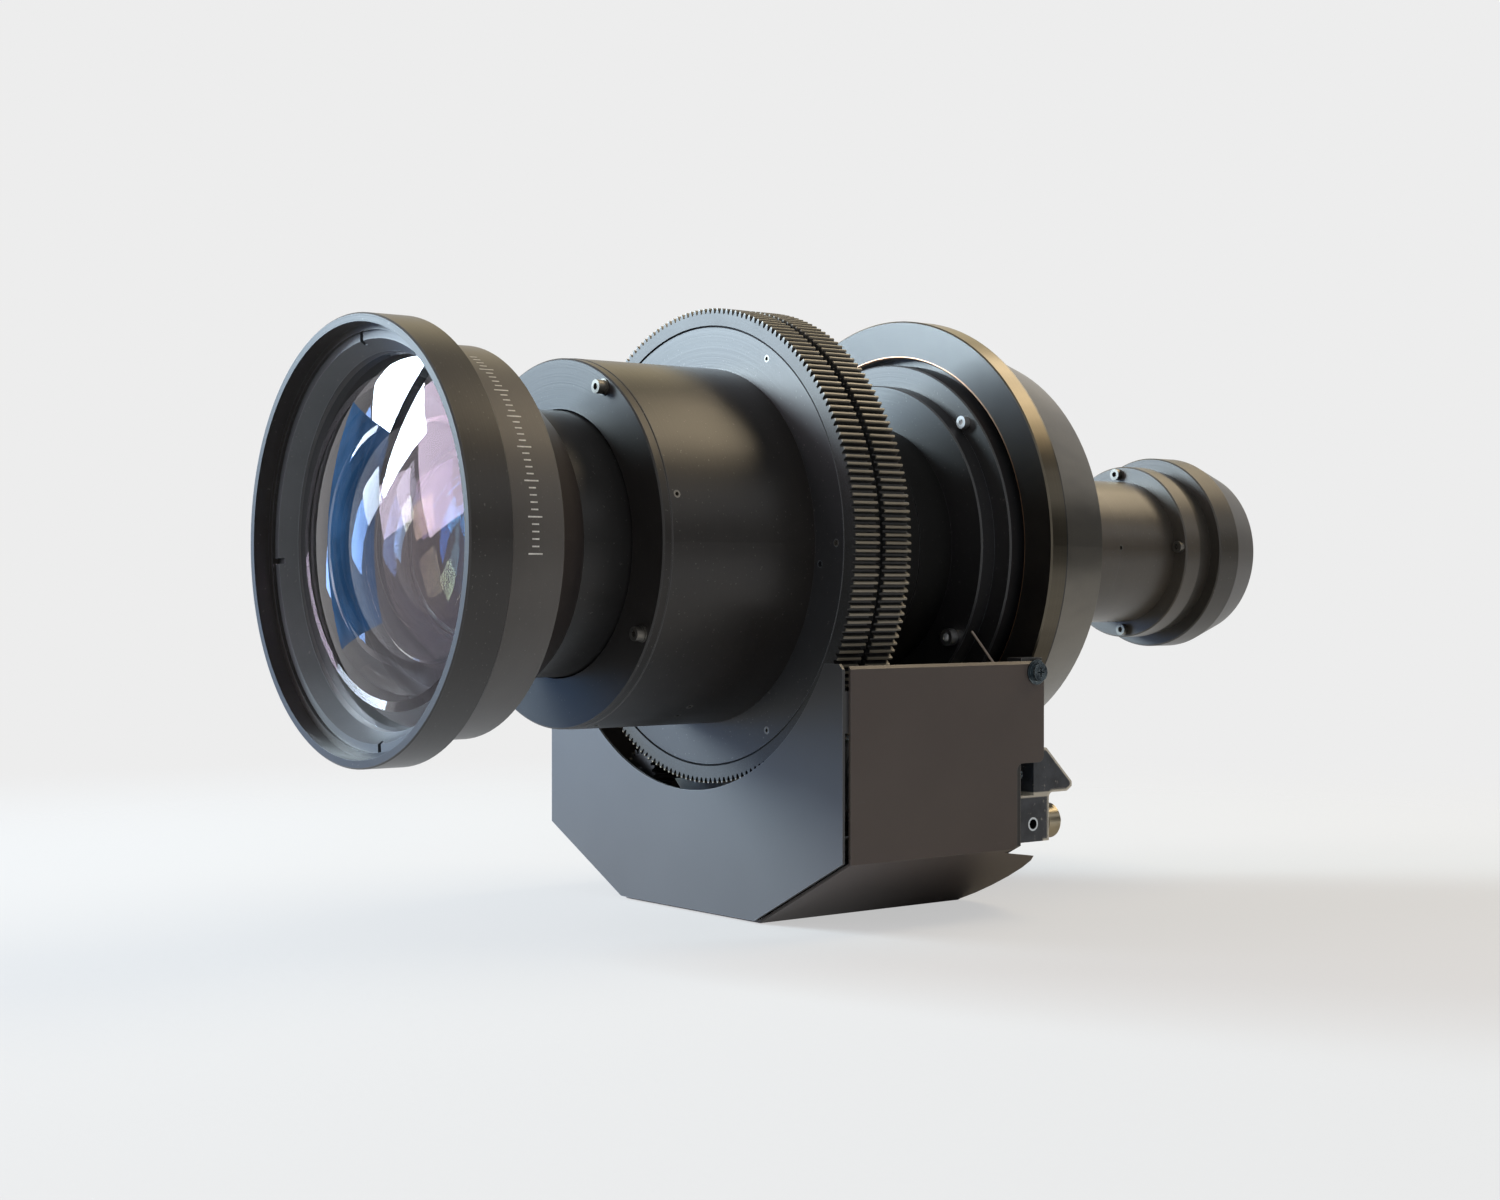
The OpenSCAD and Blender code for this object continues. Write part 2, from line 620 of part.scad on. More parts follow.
module zoom_a_cell() color("#3b3b40") sliding_cell(zoom_a_pin_y, zoom_a_lead, zoom_a_tail);
module zoom_a_element() color("#d8e4ec", 0.4)
  cell_glass(zoom_a_pin_y, zoom_a_tail, zoom_a_bulge, zoom_a_rim_t, zoom_a_back_bulge);
module zoom_a_retainer() color("#5b6068")
  cell_retainer(zoom_a_pin_y, zoom_a_tail, zoom_a_bulge, zoom_a_rim_t, zoom_a_back_bulge);
module zoom_a_followers() color("#c9a24b") follower_pins(zoom_a_pin_y, zoom_glass_r + glass_gap);

module zoom_b_cell() color("#3b3b40") sliding_cell(zoom_b_pin_y, zoom_b_lead, zoom_b_tail);
module zoom_b_element() color("#d8e4ec", 0.4)
  cell_glass(zoom_b_pin_y, zoom_b_tail, zoom_b_bulge, zoom_b_rim_t, zoom_b_back_bulge);
module zoom_b_retainer() color("#5b6068")
  cell_retainer(zoom_b_pin_y, zoom_b_tail, zoom_b_bulge, zoom_b_rim_t, zoom_b_back_bulge);
module zoom_b_followers() color("#c9a24b") follower_pins(zoom_b_pin_y, zoom_glass_r + glass_gap);

/* Hub and mounting flange */
flange_lip = 16.7;        // width of the flange's front face
hub_ring_gap = 3.2;       // gap between the hub ring and the flange's bore
hub_disc_step = 9.6;      // step between the hub ring and the hub disc
cone_large_r = flange_r - seat_w;
cone_small_r = cone_large_r - cone_drop;
flange_bore_r = flange_r - flange_lip;
hub_ring_r = flange_bore_r - hub_ring_gap;
hub_disc_r = hub_ring_r - hub_disc_step;
flange_floor_t = 6;
flange_floor_r = 60;
flange_wall = 10;         // wall of the cone at its small end
flange_cavity_r = cone_small_r - flange_wall;
flange_back_t = 8;
seat_groove_w = 1.8;
seat_groove_depth = 2;
seat_groove_r = cone_large_r - seat_groove_depth;
seat_relief = 0.5;        // how far the groove's edge is set back from the seat
hub_tube_step = 0.7;      // the rear tube is this much thicker near the flange
hub_tube_len = 69.1;      // length of that stretch
hub_tube_r = rear_tube_r + hub_tube_step;
flange_y = -flange_rim_t;
hub_screw_inset = 5.6;
hub_screw_r = hub_ring_r - hub_screw_inset;
hub_screw_angle = 44.4;
hub_screw_count = 4;
disc_cap_screw_inset = 5.7;
disc_cap_screw_r = hub_disc_r - disc_cap_screw_inset;
disc_cap_screw_angle = -35.4;
disc_cap_screw_count = 2;
hub_thread_depth = 6;

module hub_ring_screw_places(station) round_axis(hub_screw_count, hub_screw_angle, hub_screw_r,
  station) children();
module hub_disc_screw_places(station) round_axis(disc_cap_screw_count, disc_cap_screw_angle,
  disc_cap_screw_r, station) children();

module hub_disc() color("#34353a") difference() {
  turned([[core_r, hub_disc_y], [hub_disc_r - edge, hub_disc_y], [hub_disc_r, hub_disc_y + edge],
    [hub_disc_r, hub_ring_y], [core_r, hub_ring_y]]);
  hub_disc_screw_places(hub_disc_y - overrun) rod(large_thread_r, 0, overrun + hub_thread_depth);
}

module hub_ring() color("#303136") difference() {
  turned([[core_r, hub_ring_y], [hub_ring_r - edge, hub_ring_y], [hub_ring_r, hub_ring_y + edge],
    [hub_ring_r, hub_back_y], [core_r, hub_back_y]]);
  hub_ring_screw_places(hub_ring_y - overrun) rod(small_thread_r, 0, overrun + hub_thread_depth);
}

module hub_screws() color("#b9b7b0") {
  hub_ring_screw_places(hub_ring_y) cap_screw(small_thread_r, hub_thread_depth);
  hub_disc_screw_places(hub_disc_y) cap_screw(large_thread_r, hub_thread_depth);
}

module mount_flange() color("#4a4a50") difference() {
  turned([[flange_bore_r + edge, flange_y], [flange_r - edge, flange_y], [flange_r, flange_y + edge],
    [flange_r, 0], [cone_large_r + free_gap, 0], [seat_groove_r, -seat_relief],
    [seat_groove_r, seat_groove_w], [cone_large_r, seat_groove_w],
    [cone_small_r, flange_back], [hub_tube_r, flange_back], [hub_tube_r, flange_back - flange_back_t],
    [flange_cavity_r, flange_back - flange_back_t], [flange_cavity_r, hub_back_y + flange_floor_t],
    [flange_floor_r, hub_back_y + flange_floor_t], [flange_floor_r, hub_back_y],
    [flange_bore_r, hub_back_y], [flange_bore_r, flange_y + edge]]);
}

/* Rear tube, collar and cap */
rear_bore_r = 31;
rear_foot_r = 46;
rear_foot_t = 6;
rear_grub_depth = 2.4;
rear_lip_r = 28;
rear_lip_lead = 21.5;     // the inner glass's lip, in front of the collar
rear_inner_r = 30.8;
rear_inner_bulge = 90;
rear_inner_rim_t = 5;
rear_retainer_t = 4;
collar_y = flange_back + rear_tube_len;
collar_back_y = collar_y + collar_t;
cap_y = collar_back_y + cap_gap;
cap_taper_y = cap_y + cap_len;
cap_end_y = cap_taper_y + cap_taper_len;
cap_neck_r = 40.5;
cap_end_r = 40.4;
cap_bore_r = 32;
cap_glass_r = 36;
cap_lip_r = 33;
cap_seat_lead = 15;       // the rear element's seat, in front of the cap's end
rear_front_bulge = 150;
rear_back_bulge = 80;
rear_rim_t = 4;
rear_ring_t = 3.2;
collar_screw_r = 38.3;
collar_screw_angle = 3;
collar_screw_count = 4;
collar_screw_depth = 14;
rear_lip_y = collar_y - rear_lip_lead;
rear_foot_y = flange_back - flange_back_t;
cap_seat_y = cap_end_y - cap_seat_lead;

module rear_tube() color("#3a3835") difference() {
  turned([[rear_bore_r, rear_foot_y - rear_foot_t], [rear_foot_r, rear_foot_y - rear_foot_t],
    [rear_foot_r, rear_foot_y], [hub_tube_r, rear_foot_y], [hub_tube_r, flange_back + hub_tube_len],
    [rear_tube_r, flange_back + hub_tube_len], [rear_tube_r, collar_back_y], [rear_bore_r,
      collar_back_y],
    [rear_bore_r, rear_lip_y], [rear_lip_r, rear_lip_y], [rear_lip_r, rear_lip_y - lip_t],
    [rear_bore_r, rear_lip_y - lip_t]]);
  at_angle(rear_grub_angle, rear_tube_r - rear_grub_depth, collar_y - rear_grub_lead) rotate([0, 90, 0])
    cylinder(r = small_thread_r, h = rear_grub_depth + overrun, $fn = small_fn);
}

rear_inner_apex_y = rear_lip_y - sag(rear_inner_bulge, rear_lip_r);
rear_inner_back_y = rear_inner_apex_y + sag(rear_inner_bulge, rear_inner_r) + rear_inner_rim_t;
module rear_inner_element() color("#d8e4ec", 0.4)
  glass(rear_inner_r, rear_inner_apex_y, rear_inner_back_y, rear_inner_bulge, 0, rear_lip_r);

module rear_inner_retainer() color("#5b6068")
  tube(rear_bore_r, rear_lip_r, rear_inner_back_y, rear_inner_back_y + rear_retainer_t);

module collar_screw_places(station) round_axis(collar_screw_count, collar_screw_angle,
  collar_screw_r, station) children();

module rear_collar() color("#33322f") difference() {
  turned([[rear_tube_r, collar_y], [collar_r - edge, collar_y], [collar_r, collar_y + edge],
    [collar_r, collar_back_y - edge], [collar_r - edge, collar_back_y], [rear_tube_r, collar_back_y]]);
  collar_screw_places(collar_y - overrun) rod(small_thread_r, 0, collar_t + 2 * overrun);
}

module rear_collar_screws() color("#57544c") collar_screw_places(collar_y)
  cap_screw(small_thread_r, collar_screw_depth);

module rear_cap() color("#35332f") difference() {
  turned([[cap_bore_r, collar_back_y], [cap_neck_r, collar_back_y], [cap_neck_r, cap_y],
    [cap_r - edge, cap_y],
    [cap_r, cap_y + edge], [cap_r, cap_taper_y], [cap_end_r, cap_end_y], [cap_glass_r, cap_end_y],
    [cap_glass_r, cap_seat_y], [cap_lip_r, cap_seat_y], [cap_lip_r, cap_seat_y - lip_t],
    [cap_bore_r, cap_seat_y - lip_t]]);
  collar_screw_places(collar_back_y - overrun) rod(small_thread_r, 0,
    overrun + collar_screw_depth - collar_t);
}

rear_apex_y = cap_seat_y - sag(rear_front_bulge, cap_lip_r);
rear_rim_r = cap_glass_r - glass_gap;
rear_back_y = rear_apex_y + sag(rear_front_bulge, rear_rim_r) + rear_rim_t + sag(rear_back_bulge,
  rear_rim_r);
module rear_element() color("#d8e4ec", 0.4)
  glass(rear_rim_r, rear_apex_y, rear_back_y, rear_front_bulge, rear_back_bulge, cap_lip_r);

rear_ring_y = rear_back_y - sag(rear_back_bulge, cap_lip_r);
module rear_retaining_ring() color("#5b6068") tube(cap_glass_r, cap_lip_r, rear_ring_y,
  rear_ring_y + rear_ring_t);

/* Sheet metal housing. Its section is set in by inset from the outside of the cover. */
corner_cut = 2;
chamfer_angle = atan2(housing_bottom - housing_knee, housing_half_w - housing_base_half);
function half_section(inset, top_drop) = let (
  w = housing_half_w - inset,
  knee = housing_knee - inset * tan((90 - chamfer_angle) / 2),
  base = housing_base_half - inset * tan(chamfer_angle / 2),
  top = housing_top + top_drop)
  [[w - corner_cut, -top], [w, -top - corner_cut], [w, -knee], [base, -housing_bottom + inset]];
function mirrored(points) = [for (i = [len(points) - 1:-1:0]) [-points[i][0], points[i][1]]];
function section(inset, top_drop = 0) = concat(half_section(inset, top_drop),
  mirrored(half_section(inset, top_drop)));

// The cover's inside below its corner cuts
inside_half = half_section(sheet_t, 0);
sheet_inside = concat([inside_half[2], inside_half[3]], mirrored([inside_half[2], inside_half[3]]));

// Extrudes an outline of [x, z] points along Y
module extruded(outline, from, to) translate([0, to, 0]) rotate([90, 0, 0])
  linear_extrude(height = to - from) polygon(outline);

front_sheet_y = ring_y - front_sheet_lead;
front_sheet_back_y = front_sheet_y + sheet_t;
sheet_gap = 2;            // gap between the front sheet and the cover
cover_front_y = front_sheet_back_y + sheet_gap;
tab_len = 16;             // tabs bent back from the front sheet
tab_w = 16;
side_tab_top = 10.6;      // top of the side tabs below the housing's top edge
base_tab_x = 30;

module housing_front() color("#3c4148") {
  difference() {
    extruded(section(sheet_t), front_sheet_y, front_sheet_back_y);
    along_axis(front_sheet_y - overrun) cylinder(r = sheet_cut_r, h = sheet_t + 2 * overrun, $fn = 160);
  }
  for (side = [-1, 1]) {
    translate([side > 0 ? housing_half_w - 2 * sheet_t : sheet_t - housing_half_w, front_sheet_back_y,
      -housing_top - side_tab_top - tab_w]) cube([sheet_t, tab_len, tab_w]);
    translate([side * base_tab_x - tab_w / 2, front_sheet_back_y, sheet_t - housing_bottom])
      cube([tab_w, tab_len, sheet_t]);
  }
}

// Side view of the cover: stations are counted from the focus ring, heights below the axis
cover_len = 100;
notch_len = 84.5;
notch_top = 89.7;
side_end_z = 122.9;
relief_y = 80.5;
relief_z = 126.4;
fin_y = 104.4;
fin_z = 129.9;
bulge_r = 12.6;
bulge_y = 98.97;
bulge_z = 141.3;
corner_r = 3;
bulge_half_angle = 64.5;
arc_steps = 6;
function arc(cy, cz, r, a0, a1) = [for (i = [0:arc_steps]) let (a = a0 + (a1 - a0) * i / arc_steps)
  [cy + r * cos(a), cz + r * sin(a)]];
function cover_side(notched) = concat(
  [[cover_front_y - ring_y, -housing_top + overrun], [cover_len - corner_r, -housing_top + overrun]],
  arc(cover_len - corner_r, -housing_top - corner_r, corner_r, 90, 0),
  notched ? concat(
    arc(cover_len - corner_r, -notch_top + corner_r, corner_r, 0, -90),
    arc(notch_len + corner_r, -notch_top - corner_r, corner_r, 90, 180),
    [[notch_len, -side_end_z]]) : [[cover_len, -side_end_z]],
  [[relief_y, -relief_z], [fin_y, -fin_z]],
  arc(bulge_y, -bulge_z, bulge_r, bulge_half_angle, -bulge_half_angle),
  [[fin_y, -housing_bottom - overrun], [cover_front_y - ring_y, -housing_bottom - overrun]]);

module side_slab(notched, from, to) translate([from, ring_y, 0]) rotate([90, 0, 90])
  linear_extrude(height = to - from) polygon(cover_side(notched));

module housing_cover() color("#2e2a28") difference() {
  intersection() {
    difference() {
      extruded(section(0), cover_front_y, ring_y + cover_len + corner_r + bulge_r);
      extruded(concat([[sheet_t - housing_half_w, overrun]], [[housing_half_w - sheet_t, overrun]],
        sheet_inside), cover_front_y - overrun, ring_y + cover_len + corner_r + bulge_r + overrun);
    }
    union() {
      side_slab(true, 0, housing_half_w + overrun);
      side_slab(false, -housing_half_w - overrun, 0);
    }
  }
  cover_screw_places() rotate([-90, 0, 0]) cylinder(r = large_thread_r, h = 2 * lug_w,
    center = true, $fn = small_fn);
}

/* Chassis plate with its lugs, carried on standoffs by the flange */
chassis_lead = 84;        // front of the chassis plate behind the focus ring's face
chassis_t = 4;
chassis_drop = 3.3;       // top edge of the plate below the housing's top edge
chassis_bore_r = 76;
chassis_y = ring_y + chassis_lead;
chassis_back_y = chassis_y + chassis_t;
lug_len = 12;
lug_w = 8;
lug_h = 12;
lug_hole_lead = 7.3;      // the cover screw behind the chassis plate
lug_hole_drop = 5.4;      // and below the housing's top edge
standoff_r = 4.5;
standoff_inset = 8.2;     // distance of the standoffs from the flange's edge
standoff_place_r = flange_r - standoff_inset;
standoff_angles = [-125, -90, -55];
pillar_r = 4;
pillar_head_share = 0.85;
plate_reach = 14.7;       // how far the motor plate reaches beyond the motors
plate_half_w = drive_r * cos(zoom_drive_angle) + motor_r + plate_reach;
pillar_inset = 6;         // distance of the upper pillars from the motor plate's sides
pillar_x = plate_half_w - pillar_inset;
pillar_z = 86;
low_pillar_x = 30;
low_pillar_z = 128;
pillar_places = [for (side = [1, -1]) each [[side * pillar_x, -pillar_z], [side * low_pillar_x,
  -low_pillar_z]]];
thread_depth = 6;
connector_z = -133;
connector_w = 36;
connector_h = 12;
connector_t = 12;
connector_lead = 2;       // how far the connector reaches into the chassis plate

module cover_screw_places() for (side = [-1, 1])
  translate([side * housing_half_w, chassis_back_y + lug_hole_lead, -housing_top - lug_hole_drop])
    rotate([0, 0, side * 90]) children();

module drive_chassis() color("#5e6064") difference() {
  union() {
    extruded(section(sheet_t + free_gap, chassis_drop), chassis_y, chassis_back_y);
    for (side = [-1, 1]) translate([side > 0 ? housing_half_w - sheet_t - lug_w : sheet_t - housing_half_w,
      chassis_back_y, -housing_top - lug_hole_drop - lug_h / 2]) cube([lug_w, lug_len, lug_h]);
  }
  rod_wide(chassis_bore_r, chassis_y - overrun, chassis_back_y + overrun);
  for (a = standoff_angles) at_angle(a, standoff_place_r, chassis_y - overrun) rod(large_thread_r,
    0, chassis_t + 2 * overrun);
  for (p = pillar_places) translate([p[0], chassis_y - overrun, p[1]]) rod(large_thread_r, 0,
    chassis_t + 2 * overrun);
  cover_screw_places() translate([0, sheet_t, 0]) rod(large_thread_r, 0, lug_w + overrun);
  translate([-connector_w / 2, chassis_y - overrun, connector_z - connector_h / 2])
    cube([connector_w, chassis_t + 2 * overrun, connector_h]);
  bracket_screw_place() rod(large_thread_r, -chassis_t - overrun, overrun);
}

// Standoffs between the chassis plate and the flange's front face, with their screws' shanks
module chassis_standoffs() color("#a9abad") for (a = standoff_angles) at_angle(a, standoff_place_r, 0) {
  rod(standoff_r, chassis_back_y, flange_y);
  rod(large_thread_r, chassis_y, chassis_back_y);
  rod(standoff_r * pillar_head_share, chassis_y - small_thread_r, chassis_y);
}

plate_lead = 32;          // front of the motor plate behind the focus ring's face
plate_t = 3;
plate_top = 80;
plate_bottom = 132;
plate_foot_half = 32;
boss_r = 6;
shaft_r = 3;
plate_y = ring_y + plate_lead;
plate_end_y = plate_y + plate_t;

module at_drive(angle, station = 0) at_angle(angle, drive_r, station) children();

module motor_plate() color("#6a6d72") difference() {
  extruded([[plate_half_w, -plate_top], [plate_half_w, -plate_top - lug_h], [plate_foot_half,
    -plate_bottom],
    [-plate_foot_half, -plate_bottom], [-plate_half_w, -plate_top - lug_h], [-plate_half_w,
      -plate_top]],
    plate_y, plate_end_y);
  for (a = [focus_drive_angle, zoom_drive_angle]) at_drive(a, plate_y - overrun) rod(boss_r, 0,
    plate_t + 2 * overrun);
  for (p = pillar_places) translate([p[0], plate_y - overrun, p[1]]) rod(large_thread_r, 0,
    plate_t + 2 * overrun);
}

module motor_pillars() color("#b8babc") for (p = pillar_places) translate([p[0], 0, p[1]]) {
  rod(pillar_r, plate_end_y, chassis_y);
  rod(large_thread_r, plate_y, plate_end_y);
  rod(large_thread_r, chassis_y, chassis_back_y);
  rod(pillar_r * pillar_head_share, plate_y - small_thread_r, plate_y);
}

/* Gear motors with their pinions */
gearbox_len = 20;
can_r = 14;
can_gap = 0.8;            // waist between the gearbox and the can
shaft_seat = 7;           // length of the shaft inside the motor
terminal_w = 2;
terminal_len = 3;

module gear_motor(angle) at_drive(angle) difference() {
  union() {
    rod_wide(boss_r, plate_y, plate_end_y);
    rod_wide(motor_r, plate_end_y, plate_end_y + gearbox_len);
    rod_wide(can_r - can_gap, plate_end_y + gearbox_len, plate_end_y + gearbox_len + can_gap);
    rod_wide(can_r, plate_end_y + gearbox_len + can_gap, plate_end_y + motor_len);
  }
  rod(shaft_r + run_gap, plate_y - overrun, plate_y + shaft_seat + free_gap);
}
module focus_motor() color("#8a8f96") gear_motor(focus_drive_angle);
module zoom_motor() color("#8a8f96") gear_motor(zoom_drive_angle);

// A pinion on its output shaft. One tooth gap faces the ring.
pinion_inset = 0.6;       // the pinion is this much narrower than its ring at each end
shaft_lead = 2;
module pinion(angle, from, to) at_drive(angle) {
  rotate([0, 180 / pinion_teeth, 0]) along_axis(from) linear_extrude(height = to - from)
    polygon(gear_outline(pinion_teeth, [pinion_root_r, pinion_base_r,
      (pinion_base_r + pinion_pitch_r) / 2,
      pinion_pitch_r, (pinion_pitch_r + pinion_tip_r) / 2, pinion_tip_r], pinion_pitch_r));
  rod(shaft_r, from - shaft_lead, from);
  rod(shaft_r, to, plate_y + shaft_seat);
}
module focus_pinion() color("#c9a24b") pinion(focus_drive_angle, ring_y + pinion_inset,
  focus_end - pinion_inset);
module zoom_pinion() color("#c9a24b") pinion(zoom_drive_angle, zoom_y + pinion_inset,
  zoom_end - pinion_inset);

/* Guide bracket at the right rear corner, bolted to the chassis plate */
bracket_inset = 17;       // distance of the bracket's inner face from the housing's side
bracket_x = housing_half_w - bracket_inset;
bracket_w = 15;
block_bottom = 122.7;
block_top = 103.5;
block_len = 17;
arm_lead = 8;             // the upper arm starts this far behind the chassis plate
arm_top = 84;
gusset_y = 15.5;
gusset_reach = 30.6;
gusset_z = 98.8;
gusset_edge_z = 100.8;
shelf_z = 102.7;
shelf_y = 27.6;
fillet_r = 2;
side_hole_y = 7.7;
side_hole_z = 115.4;
side_hole_depth = 10;
insert_wall = 0.9;
guide_inset = 9;
guide_x = housing_half_w - guide_inset;
guide_z = 115.2;
guide_shank_share = 0.5;
guide_nose_share = 0.45;
guide_straight_share = 0.6;
guide_seat = 6;
bracket_screw_inset = 8;
bracket_screw_x = housing_half_w - bracket_screw_inset;
bracket_screw_z = 95;

module bracket_screw_place() translate([bracket_screw_x, chassis_back_y, -bracket_screw_z]) children();

module guide_bracket() color("#39414d") difference() {
  translate([bracket_x, chassis_back_y, 0]) rotate([90, 0, 90]) linear_extrude(height = bracket_w)
    polygon(concat([[0, -block_top], [0, -block_bottom], [block_len, -block_bottom]],
      arc(block_len + fillet_r, -shelf_z - fillet_r, fillet_r, 180, 90),
      [[shelf_y, -shelf_z], [gusset_reach, -gusset_edge_z], [gusset_reach, -gusset_z],
        [gusset_y, -arm_top], [arm_lead, -arm_top], [arm_lead, -block_top]]));
  translate([bracket_x + bracket_w + overrun, chassis_back_y + side_hole_y, -side_hole_z])
    rotate([0, -90, 0])
    cylinder(r = side_hole_r, h = side_hole_depth + overrun, $fn = small_fn);
  translate([guide_x, 0, -guide_z])
    rod(guide_pin_r * guide_shank_share, chassis_back_y + block_len - guide_seat,
      chassis_back_y + block_len + overrun);
}

module guide_pin() color("#6b5a45") translate([guide_x, chassis_back_y + block_len, -guide_z])
  turned([[0, -guide_seat], [guide_pin_r * guide_shank_share, -guide_seat],
    [guide_pin_r * guide_shank_share, 0],
    [guide_pin_r, 0], [guide_pin_r, guide_pin_len * guide_straight_share],
    [guide_pin_r * guide_nose_share, guide_pin_len], [0, guide_pin_len]]);

/* Screws of the housing and of the bracket */
pan_head_share = 1.9;
pan_height_share = 1.1;
housing_washer_share = 2.6;
cross_share = 0.35;
module housing_screws() color("#9aa0a6") {
  cover_screw_places() {
    tube(large_thread_r * housing_washer_share, large_thread_r, -washer_t, 0);
    translate([0, -washer_t, 0]) rotate([-90, 0, 0]) difference() {
      union() {
        translate([0, 0, -large_thread_r * pan_height_share])
          cylinder(r = large_thread_r * pan_head_share, h = large_thread_r * pan_height_share,
            $fn = small_fn);
        cylinder(r = large_thread_r, h = sheet_t + lug_w, $fn = small_fn);
      }
      for (turn = [0, 90]) rotate([0, 0, turn])
        translate([-large_thread_r, -large_thread_r * cross_share / 2,
          -large_thread_r * pan_height_share - overrun])
          cube([2 * large_thread_r, large_thread_r * cross_share, overrun + large_thread_r]);
    }
  }
  bracket_screw_place() mirror([0, 1, 0]) cap_screw(large_thread_r, chassis_t);
}

/* Connector on the chassis plate, and the motor leads */
contact_r = 0.6;
contact_count = 6;
contact_pitch = 4.5;
contact_len = 5;
contact_depth = 3;
connector_wall = 2;
connector_y = chassis_y + connector_lead;

module contact_places() for (i = [0:contact_count - 1])
  translate([(i - (contact_count - 1) / 2) * contact_pitch,
    connector_y + connector_t - contact_len, connector_z]) children();

module rear_connector() color("#1d1e20") {
  difference() {
    translate([-connector_w / 2, connector_y, connector_z - connector_h / 2])
      cube([connector_w, connector_t, connector_h]);
    translate([connector_wall - connector_w / 2, connector_y + connector_t - contact_depth,
      connector_wall - connector_h / 2 + connector_z])
      cube([connector_w - 2 * connector_wall, contact_depth + overrun,
        connector_h - 2 * connector_wall]);
  }
  contact_places() rod(contact_r, contact_len - contact_depth, contact_len);
}

// Each lead runs from its motor's back to the connector: [x, behind the focus ring, height]
lead_route = [[45, 73, -107], [45, 76, -107.4], [43.6, 79, -108.8], [40.4, 80.6, -111.6], [35, 81,
  -115.6],
  [28, 81, -120.6], [21, 81, -125.6], [15, 81.4, -129.6], [11, 83, -132], [9.2, 84.6, -132.8], [9,
    86, -133]];
lead_r = 1.5;
lead_sides = 8;
lead_upright = [0, 0.3, 1];   // any direction that no stretch of a lead runs in
function unit(v) = v / norm(v);
function heading(i) = i == 0 || i == len(lead_route) - 1 ? [0, 1, 0]
  : unit(lead_route[i + 1] - lead_route[i - 1]);
function ring_point(i, k) = let (
  across = unit(cross(heading(i), lead_upright)),
  up = cross(across, heading(i)),
  a = k * 360 / lead_sides)
  lead_route[i] + lead_r * (cos(a) * across + sin(a) * up);
lead_points = [for (i = [0:len(lead_route) - 1]) for (k = [0:lead_sides - 1]) ring_point(i, k)];
lead_last = len(lead_points) - lead_sides;
lead_faces = concat([[for (k = [lead_sides - 1:-1:0]) k]],
  [for (i = [0:len(lead_route) - 2]) for (k = [0:lead_sides - 1]) let (n = (k + 1) % lead_sides,
    b = i * lead_sides)
    [b + n, b + n + lead_sides, b + k + lead_sides, b + k]],
  [[for (k = [0:lead_sides - 1]) lead_last + k]]);
module motor_lead() translate([0, ring_y, 0]) polyhedron(lead_points, lead_faces);

// A straight sensor lead that stands up from the chassis plate's top edge
probe_r = 0.5;
probe_inset = 14.5;       // distance of its foot from the housing's side
probe_x = housing_half_w - probe_inset;
probe_z = housing_top + chassis_drop - probe_r;
probe_reach = 19.5;
probe_angle = 45;
module motor_leads() color("#b8705a") {
  motor_lead();
  mirror([1, 0, 0]) motor_lead();
  translate([probe_x, chassis_y + chassis_t / 2, -probe_z]) rotate([0, -probe_angle, 0])
    cylinder(r = probe_r, h = probe_reach, $fn = small_fn);
}

front_hood();
glass_retaining_ring();
name_ring();
front_element();
front_spacer();
second_element();
front_cell();
third_element();
neck_tube();
focus_followers();
focus_gear_ring();
focus_cam_sleeve();
focus_ring_screws();
zoom_gear_ring();
zoom_cam_sleeve();
zoom_ring_screws();
zoom_a_cell();
zoom_a_element();
zoom_a_retainer();
zoom_a_followers();
zoom_b_cell();
zoom_b_element();
zoom_b_retainer();
zoom_b_followers();
focus_pinion();
zoom_pinion();
core_tube();
barrel_front_plate();
main_barrel();
barrel_cap_screws();
barrel_grub_screws();
cover_disc();
cover_disc_screws();
divider_ring();
core_cover();
hub_disc();
hub_ring();
hub_screws();
mount_flange();
rear_tube();
rear_inner_element();
rear_inner_retainer();
rear_collar();
rear_collar_screws();
rear_cap();
rear_element();
rear_retaining_ring();
housing_front();
housing_cover();
housing_screws();
drive_chassis();
chassis_standoffs();
motor_plate();
motor_pillars();
focus_motor();
zoom_motor();
guide_bracket();
guide_pin();
rear_connector();
motor_leads();
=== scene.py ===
import math

import bpy
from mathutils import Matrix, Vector


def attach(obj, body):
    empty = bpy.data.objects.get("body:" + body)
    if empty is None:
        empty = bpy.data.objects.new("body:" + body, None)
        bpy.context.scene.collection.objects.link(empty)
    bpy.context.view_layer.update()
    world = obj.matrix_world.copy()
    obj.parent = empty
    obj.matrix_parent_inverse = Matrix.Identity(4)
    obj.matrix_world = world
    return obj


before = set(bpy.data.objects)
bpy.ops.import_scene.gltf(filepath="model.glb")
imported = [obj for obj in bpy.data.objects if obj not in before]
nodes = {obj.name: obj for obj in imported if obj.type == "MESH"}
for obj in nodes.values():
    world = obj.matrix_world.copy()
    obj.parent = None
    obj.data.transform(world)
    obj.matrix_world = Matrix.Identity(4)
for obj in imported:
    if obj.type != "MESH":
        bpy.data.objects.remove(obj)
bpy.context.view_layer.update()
perMetre = 1000             # millimetres
print("frame loaded with", len(nodes), "nodes")


# Shader sockets that Python can calculate with

